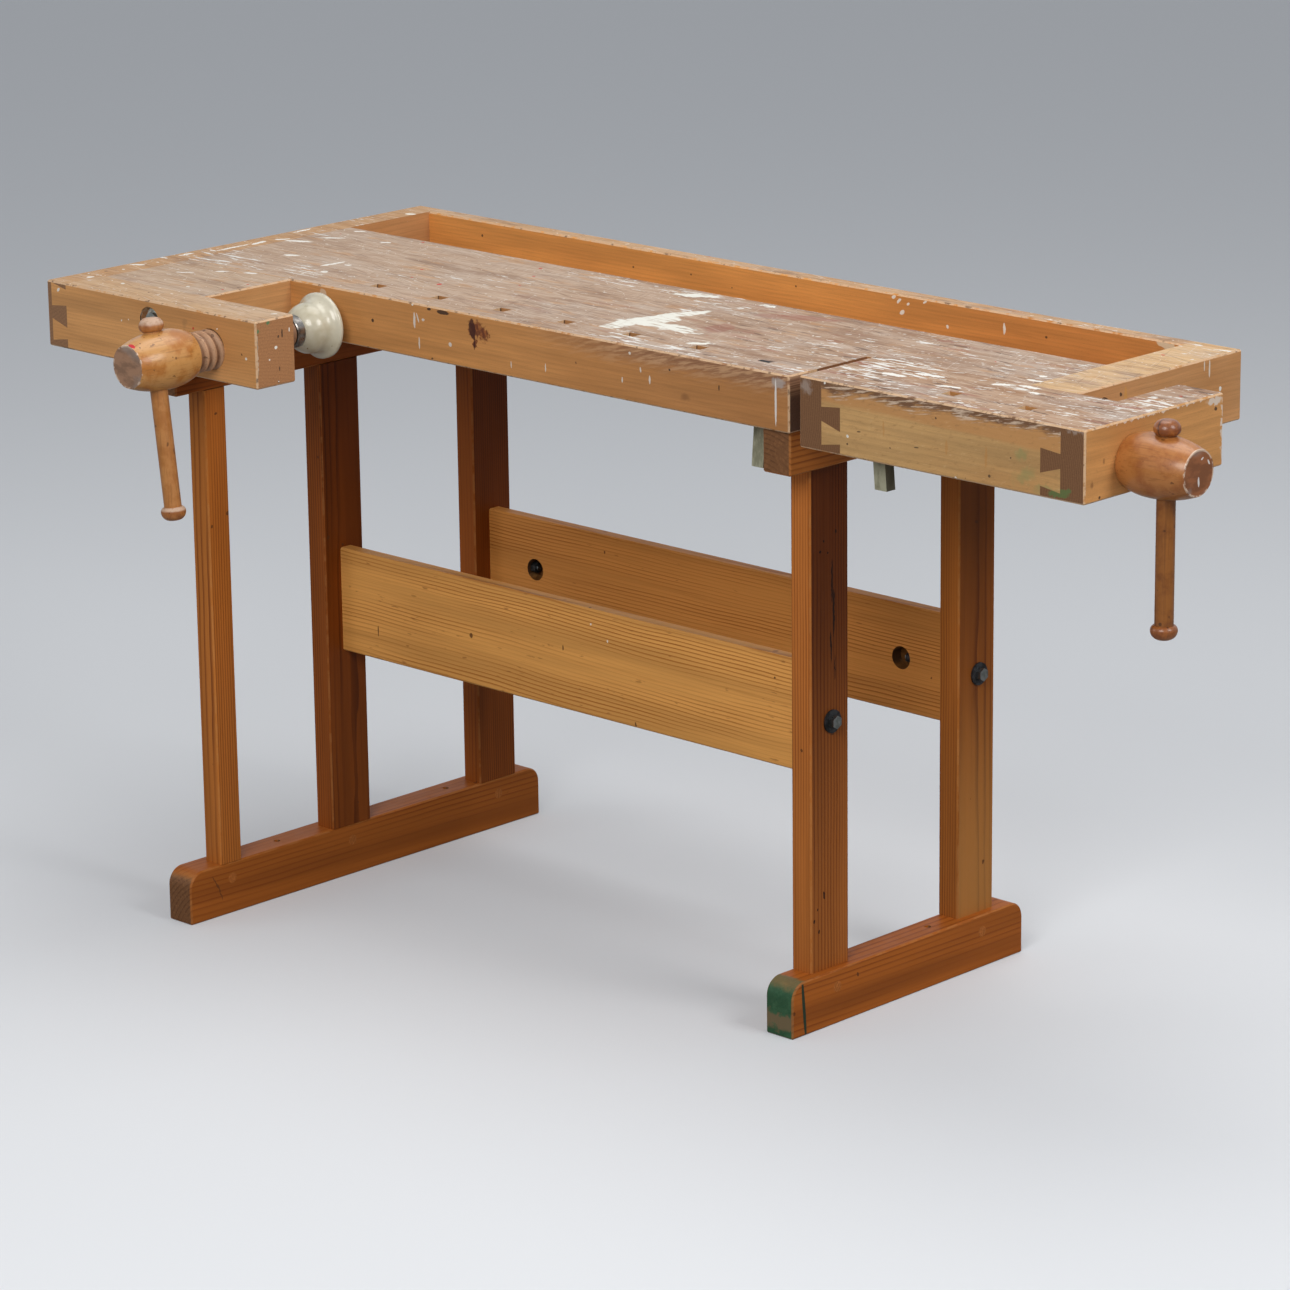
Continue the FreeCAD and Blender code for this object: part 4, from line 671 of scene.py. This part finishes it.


# ---------------------------------------------------------------- trestles and stretchers
# Feet, bearers, legs and stretchers are pine under an orange lacquer that has darkened with
# age. Each board shows narrow dark rings, straight on the legs and wavy on the stretchers, and
# the bolts' access holes are painted dark inside as shade.
def pine(node, along, heart, side, late_tone, ring=0.0042, taper=0.0, wobble=0.002,
         end=(0.14, 0.062, 0.026)):
    """Lacquered pine: the finish and its colour before any marks."""
    finish = Finish(node + "_pine")
    phase = growth(finish, along, heart, ring, taper, wobble)
    late = finish.fade(phase, 0.50, 0.92) * finish.fade(phase, 1.0, 0.97)
    strength = finish.cloud(grain_scales(along, 2.0, 26.0), 2.0, 0.5, 12.0)
    late = late * (finish.fade(strength, 0.38, 0.62) * 0.8 + 0.2)
    fibre = finish.cloud(grain_scales(along, 7.0, 520.0), 3.0, 0.6, 2.0)
    streak = finish.cloud(grain_scales(along, 1.6, 30.0), 3.0, 0.55, 4.0)
    colour = finish.mix(finish.fade(streak, 0.32, 0.70), scaled(side, 1.12), scaled(side, 0.86))
    colour = finish.mix(late * 0.85 + finish.fade(fibre, 0.50, 0.78) * 0.28, colour, late_tone)
    sawn = finish.mix(late * 0.6, scaled(end, 1.25), scaled(end, 0.6))
    speckle = finish.cloud((260.0,) * 3, 3.0, 0.6, 6.0)
    sawn = finish.mix(finish.fade(speckle, 0.48, 0.66) * 0.5, sawn, scaled(end, 1.9))
    colour = finish.mix(finish.fade(abs(finish.facing[along]), 0.6, 0.9), colour, sawn)
    return finish, colour, late + fibre * 0.7


def lacquered(finish, colour, relief, arris=(0.52, 0.27, 0.10)):
    """Scuff the arrises and lay on the thin uneven lacquer."""
    rubbed = finish.cloud((40.0,) * 3, 3.0, 0.7, 61.0)
    colour = finish.mix(finish.arris * finish.fade(rubbed, 0.40, 0.60) * 0.2, colour, arris)
    pits = finish.cloud((75.0,) * 3, 0.0, 0.5, 63.0)
    colour = finish.mix(finish.fade(pits, 0.855, 0.87) * 0.85, colour, (0.10, 0.035, 0.012))
    finish.feed(finish.shader.inputs["Base Color"], colour)
    finish.feed(finish.shader.inputs["Roughness"], rubbed * 0.25 + 0.34)
    finish.shader.inputs["Specular IOR Level"].default_value = 0.14
    finish.bump(relief * 0.4 + rubbed * finish.arris * 1.5, 0.35, 0.0008)
    return finish.material


honey_pine, honey_late = (0.70, 0.335, 0.088), (0.36, 0.125, 0.022)
amber_pine, amber_late = (0.45, 0.150, 0.028), (0.20, 0.050, 0.008)
red_pine, red_late = (0.275, 0.072, 0.010), (0.11, 0.025, 0.004)

access_radius = 0.015
access_inset = 0.087
leg_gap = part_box("right_front_leg")[0].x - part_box("left_front_leg")[1].x
access_reach = leg_gap / 2 - access_inset

for node, heart, tones, taper in (
        ("front_stretcher", (0.150, 0.225), (honey_pine, honey_late), 0.010),
        ("back_stretcher", (0.430, 0.200), ((0.56, 0.235, 0.056), (0.30, 0.095, 0.015)), 0.006)):
    plank, plank_colour, plank_relief = pine(node, "X", heart, *tones, 0.0046, taper, 0.0045)
    flecks = plank.cloud((42.0, 42.0, 210.0), 2.0, 0.5, 14.0)
    plank_colour = plank.mix(plank.fade(flecks, 0.68, 0.76) * 0.55, plank_colour, (0.24, 0.08, 0.02))
    near, far = (corner.y - bench_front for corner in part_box(node))
    depth = plank.fade(plank.y, near + 0.0003, near + 0.001)
    depth = depth * plank.fade(plank.y, far - 0.0003, far - 0.001)
    for reach in (access_reach, -access_reach):
        hole = middle_of(node) + Vector((reach, 0, 0))
        # Painted shade inside the bolts' access holes: their walls are darkened.
        hole_shade = plank.fade(from_axis(plank, "Y", hole), access_radius + 0.0008, access_radius + 0.0002)
        plank_colour = plank.mix(hole_shade * depth * 0.75, plank_colour, (0.035, 0.016, 0.008))
    if node == "front_stretcher":
        ticks = plank.patches("front", (
            (0.297, 0.353, 0.0012, 0.008, 0), (0.640, 0.395, 0.0012, 0.004, 0),
            (0.767, 0.317, 0.0014, 0.005, 20), (1.0035, 0.425, 0.0016, 0.0016, 0)), 0.002)
        plank_colour = plank.mix(ticks * 0.9, plank_colour, (0.07, 0.025, 0.01))
        pale_dots = plank.patches("front", (
            (0.690, 0.435, 0.0016, 0.0016, 0), (0.719, 0.418, 0.0014, 0.002, 0)), 0.001)
        plank_colour = plank.mix(pale_dots * 0.9, plank_colour, (0.78, 0.72, 0.62))
    dress(node, lacquered(plank, plank_colour, plank_relief))

for node, heart, tones in (
        ("left_foot", (0.300, -0.060), ((0.39, 0.115, 0.018), (0.25, 0.062, 0.009))),
        ("right_foot", (1.180, -0.090), ((0.38, 0.108, 0.016), (0.24, 0.058, 0.008))),
        ("left_bearer", (0.250, 0.660), (red_pine, red_late)),
        ("right_bearer", (1.050, 0.650), (amber_pine, amber_late))):
    beam, beam_colour, beam_relief = pine(node, "Y", heart, *tones, 0.0062, 0.012)
    low_band = beam.fade(abs(beam.z - 0.024 + (beam.y - 0.2) * 0.03), 0.016, 0.004) * beam.right
    beam_colour = beam.mix(low_band * 0.45, beam_colour, (0.22, 0.058, 0.010))
    if node == "left_foot":
        crack = beam.patches("end", (
            (-0.155, 0.046, 0.0012, 0.016, 32), (-0.148, 0.030, 0.001, 0.010, 20)), 0.004)
        beam_colour = beam.mix(crack * 0.7, beam_colour, (0.10, 0.04, 0.015))
    if node == "right_foot":
        green_end = beam.cloud((85.0, 60.0, 80.0), 5.0, 0.7, 91.0)
        painted = beam.fade(beam.y + (green_end - 0.5) * 0.016, 0.034, 0.026)
        scraped = beam.fade(abs(beam.z - 0.020) + (green_end - 0.5) * 0.035, 0.013, 0.006)
        green_colour = beam.mix(beam.fade(green_end, 0.42, 0.66), (0.018, 0.085, 0.042),
                                (0.035, 0.12, 0.06))
        green_colour = beam.mix(scraped * 0.85, green_colour, (0.19, 0.135, 0.075))
        rubbed_crown = beam.fade(beam.z, 0.058, 0.068) * 0.55
        green_colour = beam.mix(rubbed_crown, green_colour, (0.26, 0.17, 0.08))
        off_side = beam.fade(abs(beam.facing["X"]), 0.85, 0.45)
        beam_colour = beam.mix(painted * off_side * 0.93, beam_colour, green_colour)
        green_line = beam.patches("end", ((0.0270, 0.035, 0.0030, 0.045, 4.8),), 0.001)
        beam_colour = beam.mix(green_line * 0.95, beam_colour, (0.010, 0.040, 0.026))
    dress(node, lacquered(beam, beam_colour, beam_relief))

for node, heart, tones in (
        ("arm_leg", (0.245, -0.070), (amber_pine, amber_late)),
        ("left_front_leg", (0.300, 0.100), (red_pine, red_late)),
        ("left_back_leg", (0.240, 0.300), (red_pine, red_late)),
        ("right_front_leg", (1.150, 0.020), ((0.46, 0.150, 0.030), (0.19, 0.045, 0.008))),
        ("right_back_leg", (1.180, 0.345), ((0.36, 0.118, 0.021), (0.14, 0.035, 0.007)))):
    post, post_colour, post_relief = pine(node, "Z", heart, *tones, 0.0040, 0.002)
    # Painted shade on each leg's right face, deepest near the top under the bench; the tone per leg
    # sets how dark.
    side_shade = {"arm_leg": (0.97, 0.90, 0.80), "right_front_leg": (0.32, 0.23, 0.16)}.get(
        node, (0.60, 0.50, 0.38))
    post_colour = post.mix(post.right * (post.fade(post.z, 0.10, 0.62) * 0.75 + 0.25), post_colour,
                           side_shade, "MULTIPLY")
    if node == "right_back_leg":
        # Painted light: the lower part of this leg's right face is lighter, out of the shade above.
        lit_lower_side = post.right * post.fade(post.z, 0.42, 0.08)
        post_colour = post.mix(lit_lower_side * 0.5, post_colour, (0.52, 0.25, 0.070))
    if node == "right_front_leg":
        resin = post.patches("end", (
            (0.093, 0.560, 0.0016, 0.030, 0), (0.096, 0.520, 0.002, 0.034, 0),
            (0.091, 0.478, 0.0016, 0.022, 2), (0.072, 0.600, 0.0022, 0.0022, 0),
            (0.078, 0.612, 0.0016, 0.0016, 0), (0.100, 0.620, 0.0016, 0.003, 0),
            (0.086, 0.596, 0.0016, 0.0016, 0), (0.098, 0.452, 0.001, 0.018, 0),
            (0.077, 0.166, 0.0018, 0.006, 10), (0.059, 0.136, 0.002, 0.003, 0),
            (0.068, 0.121, 0.0018, 0.003, 0), (0.066, 0.150, 0.0014, 0.002, 0)), 0.004)
        post_colour = post.mix(resin * 0.95, post_colour, (0.018, 0.008, 0.005))
    dress(node, lacquered(post, post_colour, post_relief))

pins, pins_colour, pins_relief = pine("foot_pins", "X", (0.02, 0.1), amber_pine, amber_late,
                                      end=(0.31, 0.10, 0.022))
dress("foot_pins", lacquered(pins, pins_colour, pins_relief))


# ---------------------------------------------------------------- wooden screws and their hubs
# Each vise screw is turned from beech with one round ridge, and its hub is turned with it and
# varnished. The hubs' end faces are bare, scratched and greyish, with a chipped pale rim.
def smooth_copy(node, body, name, angle=40):
    """A closed copy of a turned piece with its round faces shaded smooth."""
    bpy.ops.object.select_all(action="DESELECT")
    source = frame["nodes"][node]
    piece = source.copy()
    piece.data = source.data.copy()
    piece.name = name
    piece.parent = None
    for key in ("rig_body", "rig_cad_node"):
        if key in piece:
            del piece[key]
    bpy.context.scene.collection.objects.link(piece)
    bpy.context.view_layer.objects.active = piece
    piece.select_set(True)
    bpy.ops.object.mode_set(mode="EDIT")
    bpy.ops.mesh.select_all(action="SELECT")
    bpy.ops.mesh.remove_doubles(threshold=0.00002)
    bpy.ops.object.mode_set(mode="OBJECT")
    bpy.ops.mesh.customdata_custom_splitnormals_clear()
    bpy.ops.object.shade_smooth_by_angle(angle=math.radians(angle))
    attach(piece, body)
    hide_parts(node)
    return piece


def turned_wood(name, along, amber, burnt):
    """Varnished beech with brown mottling: the finish and its colour before any marks."""
    finish = Finish(name)
    fibre = finish.cloud(grain_scales(along, 14.0, 420.0), 2.0, 0.6, 2.0)
    mottle = finish.cloud((34.0,) * 3, 4.0, 0.65, 5.0)
    colour = finish.mix(finish.fade(mottle, 0.42, 0.66), amber, burnt)
    colour = finish.mix(finish.fade(fibre, 0.52, 0.72) * 0.4, colour, scaled(burnt, 0.5))
    spots = finish.cloud((120.0,) * 3, 1.0, 0.5, 7.0)
    colour = finish.mix(finish.fade(spots, 0.70, 0.74) * 0.8, colour, scaled(burnt, 0.35))
    return finish, colour, fibre


def varnished(finish, colour, fibre, bare=0.0):
    finish.feed(finish.shader.inputs["Base Color"], colour)
    finish.feed(finish.shader.inputs["Roughness"], fibre * 0.15 + bare * 0.25 + 0.28)
    finish.feed(finish.shader.inputs["Coat Weight"], 0.35 - bare * 0.33)
    finish.shader.inputs["Coat Roughness"].default_value = 0.16
    finish.shader.inputs["Specular IOR Level"].default_value = 0.35
    finish.bump(fibre * 0.2, 0.2, 0.0006)
    return finish.material


for node, body, along, sense, amber, burnt, bared in (
        ("front_hub", "front_spindle", "Y", -1,
         (0.56, 0.28, 0.088), (0.43, 0.160, 0.030), (0.34, 0.19, 0.115)),
        ("tail_hub", "tail_spindle", "X", 1,
         (0.42, 0.165, 0.044), (0.31, 0.098, 0.020), (0.29, 0.105, 0.040))):
    hub, hub_colour, hub_fibre = turned_wood(node + "_varnish", along, amber, burnt)
    low, high = (corner - on_bench(0, 0, 0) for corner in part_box(node))
    out = from_axis(hub, along, middle_of(node))
    end_face = hub.fade(hub.facing[along] * sense, 0.86, 0.95)
    scratches = hub.cloud((38.0, 38.0, 90.0), 4.0, 0.6, 11.0)
    bare_colour = hub.mix(hub.fade(scratches, 0.40, 0.62), bared, scaled(bared, 0.66))
    greyed = hub.cloud((24.0,) * 3, 2.0, 0.5, 12.0)
    bare_colour = hub.mix(hub.fade(greyed, 0.46, 0.62) * 0.55, bare_colour, (0.30, 0.26, 0.24))
    hub_colour = hub.mix(end_face, hub_colour, bare_colour)
    chipped = hub.cloud((110.0,) * 3, 2.0, 0.6, 13.0)
    edge = hub.x if along == "X" else hub.y
    from_end = abs(edge - (high.x if along == "X" else low.y))
    rim = hub.fade(out, 0.0246, 0.0256) * hub.fade(from_end, 0.0016, 0.0010)
    hub_colour = hub.mix(rim * hub.fade(chipped, 0.44, 0.56) * 0.8, hub_colour, (0.66, 0.50, 0.38))
    if node == "tail_hub":
        white_drips = hub.patches("end", (
            (0.084, 0.774, 0.0017, 0.0065, 4), (0.090, 0.800, 0.0024, 0.0012, 20),
            (0.102, 0.794, 0.0012, 0.004, 30)), 0.002)
        hub_colour = hub.mix(white_drips * 0.85, hub_colour, (0.74, 0.72, 0.70))
    if node == "front_hub":
        lifted = hub.fade(hub.facing["Z"], 0.3, 0.5)
        blob = ((hub.x - 0.3235) / 0.0062) ** 2 + ((hub.y + 0.3415) / 0.0028) ** 2
        red_paint = hub.fade(blob, 1.0, 0.7)
        hub_colour = hub.mix(red_paint * lifted, hub_colour, (0.55, 0.008, 0.012))
    piece = smooth_copy(node, body, node + "_turned")
    piece.material_slots[0].material = varnished(hub, hub_colour, hub_fibre, end_face)

for node, body, along in (("front_screw", "front_spindle", "Y"), ("tail_screw", "tail_spindle", "X")):
    thread, thread_colour, thread_fibre = turned_wood(node + "_raw", along, (0.47, 0.27, 0.155),
                                                      (0.36, 0.185, 0.095))
    outer = (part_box(node)[1].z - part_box(node)[0].z) / 2
    # Painted shade: the thread is darker towards the bottom of its groove.
    groove_shade = thread.fade(from_axis(thread, along, middle_of(node)), outer - 0.0015, outer - 0.0050)
    thread_colour = thread.mix(groove_shade * 0.7, thread_colour, (0.17, 0.075, 0.035))
    piece = smooth_copy(node, body, node + "_turned", 50)
    thread.feed(thread.shader.inputs["Base Color"], thread_colour)
    thread.feed(thread.shader.inputs["Roughness"], thread_fibre * 0.2 + 0.42)
    thread.bump(thread_fibre * 0.4, 0.3, 0.0006)
    piece.material_slots[0].material = thread.material


# ---------------------------------------------------------------- handle bars and knobs
# Each hub has a loose turned bar through it, stopped by a glued knob at each end. The front one
# is honey coloured, with its upper knob worn bare, and the tail one is dark and glossy.
for vise, amber, burnt, knob_amber, knob_burnt in (
        ("front", (0.47, 0.205, 0.060), (0.38, 0.145, 0.034),
         (0.42, 0.165, 0.045), (0.27, 0.085, 0.02)),
        ("tail", (0.27, 0.095, 0.016), (0.18, 0.055, 0.009),
         (0.34, 0.115, 0.026), (0.20, 0.055, 0.012))):
    bar, bar_colour, bar_fibre = turned_wood(vise + "_bar_varnish", "Z", amber, burnt)
    piece = smooth_copy(vise + "_handle_bar", vise + "_handle", vise + "_bar_turned")
    piece.material_slots[0].material = varnished(bar, bar_colour, bar_fibre)
    knob, knob_colour, knob_fibre = turned_wood(vise + "_knob_varnish", "Z", knob_amber, knob_burnt)
    bare = 0.0
    if vise == "front":
        worn = knob.cloud((90.0,) * 3, 3.0, 0.6, 15.0)
        bare = knob.fade(knob.facing["Z"], 0.15, 0.55) * knob.fade(worn, 0.30, 0.45)
        knob_colour = knob.mix(bare, knob_colour, knob.mix(
            knob.fade(worn, 0.5, 0.7), (0.56, 0.38, 0.27), (0.42, 0.25, 0.16)))
    else:
        split = knob.fade(abs(knob.x - 1.5955 + (knob.z - 0.83) * 0.2), 0.0010, 0.0004)
        knob_colour = knob.mix(split * knob.fade(knob.z, 0.70, 0.72), knob_colour, (0.06, 0.02, 0.008))
    piece = smooth_copy(vise + "_handle_knobs", vise + "_handle", vise + "_knobs_turned")
    piece.material_slots[0].material = varnished(knob, knob_colour, knob_fibre, bare)


# ---------------------------------------------------------------- clamping pad and collar
# The front screw pushes a turned pad painted in glossy cream, which has yellowed and chipped at
# its rim. A chromed collar holds it to the screw.
cream = Finish("pad_cream")
yellowed = cream.cloud((30.0,) * 3, 3.0, 0.6, 3.0)
cream_colour = cream.mix(cream.fade(yellowed, 0.35, 0.68), (0.58, 0.545, 0.43), (0.47, 0.425, 0.305))
dirt = cream.cloud((70.0,) * 3, 4.0, 0.7, 5.0)
cream_colour = cream.mix(cream.fade(dirt, 0.60, 0.74) * 0.45, cream_colour, (0.33, 0.28, 0.18))
chips = cream.cloud((140.0,) * 3, 2.0, 0.6, 7.0)
cream_colour = cream.mix(cream.fade(chips, 0.745, 0.76), cream_colour, (0.22, 0.15, 0.08))
cream.feed(cream.shader.inputs["Base Color"], cream_colour)
cream.feed(cream.shader.inputs["Roughness"], dirt * 0.16 + 0.16)
cream.shader.inputs["Coat Weight"].default_value = 0.3
cream.shader.inputs["Coat Roughness"].default_value = 0.08
cream.bump(yellowed * 0.05 + dirt * 0.05, 0.2, 0.0010)
pad = smooth_copy("front_pad", "front_jaw", "front_pad_turned", 50)
pad.material_slots[0].material = cream.material


def metal(name, colour, dull, roughness, rust=(0.10, 0.055, 0.03), cloud_scale=90.0):
    """Bare or plated metal with dull clouds and a little rust."""
    finish = Finish(name)
    cloud = finish.cloud((cloud_scale,) * 3, 4.0, 0.6, 3.0)
    metal_colour = finish.mix(finish.fade(cloud, 0.42, 0.62), colour, dull)
    rusted = finish.fade(cloud, 0.66, 0.74)
    metal_colour = finish.mix(rusted * 0.8, metal_colour, rust)
    finish.feed(finish.shader.inputs["Base Color"], metal_colour)
    finish.feed(finish.shader.inputs["Roughness"], cloud * 0.35 + roughness)
    finish.feed(finish.shader.inputs["Metallic"], 1 - rusted * 0.7)
    finish.bump(cloud, 0.15, 0.0005)
    return finish.material


collar = smooth_copy("front_collar", "front_jaw", "front_collar_turned")
collar.material_slots[0].material = metal("collar_chrome", (0.30, 0.28, 0.26), (0.15, 0.14, 0.13), 0.14)


# ---------------------------------------------------------------- bolts and bench dogs
# Steel bolts with dark washers hold the stretchers, the end caps and the arm. The two dogs are
# square steel bars with old greenish grey paint, worn brown and black on top.
for node, bright in (("arm_bolt", 1.0), ("end_cap_bolts", 0.8), ("stretcher_bolts", 0.45)):
    dress(node, metal(node + "_steel", scaled((0.62, 0.65, 0.64), bright),
                      scaled((0.36, 0.39, 0.37), bright), 0.16))
dress("arm_bolt_washer", metal("arm_bolt_washer_steel", (0.62, 0.68, 0.65), (0.34, 0.42, 0.37), 0.2))
for node in ("end_cap_washers", "stretcher_washers", "stretcher_nuts"):
    dress(node, metal(node + "_steel", (0.07, 0.07, 0.075), (0.03, 0.03, 0.03), 0.45))
for node in ("bench_dog", "tail_dog"):
    dog = Finish(node + "_painted")
    dog_cloud = dog.cloud((60.0, 60.0, 30.0), 4.0, 0.65, 3.0)
    dog_colour = dog.mix(dog.fade(dog_cloud, 0.42, 0.62), (0.35, 0.345, 0.25), (0.21, 0.205, 0.14))
    dog_colour = dog.mix(dog.fade(dog_cloud, 0.66, 0.72) * 0.7, dog_colour, (0.09, 0.05, 0.03))
    dog_colour = dog.mix(dog.right * 0.8, dog_colour, (0.055, 0.050, 0.032))
    black_front = dog.fade(dog.y, 0.0455, 0.0425) * {"bench_dog": 1.0, "tail_dog": 0.25}[node]
    dog_colour, dog_paint = worn_top(dog, dog_colour, (0.34, 0.22, 0.15), (0.22, 0.13, 0.08))
    dog_colour = dog.mix(dog.up * black_front, dog_colour, (0.012, 0.011, 0.012))
    dog.feed(dog.shader.inputs["Base Color"], dog_colour)
    dog.feed(dog.shader.inputs["Roughness"], dog_cloud * 0.3 + 0.5)
    dog.shader.inputs["Specular IOR Level"].default_value = 0.2
    dog.bump(dog_cloud + dog_paint, 0.2, 0.0006)
    dress(node, dog.material)
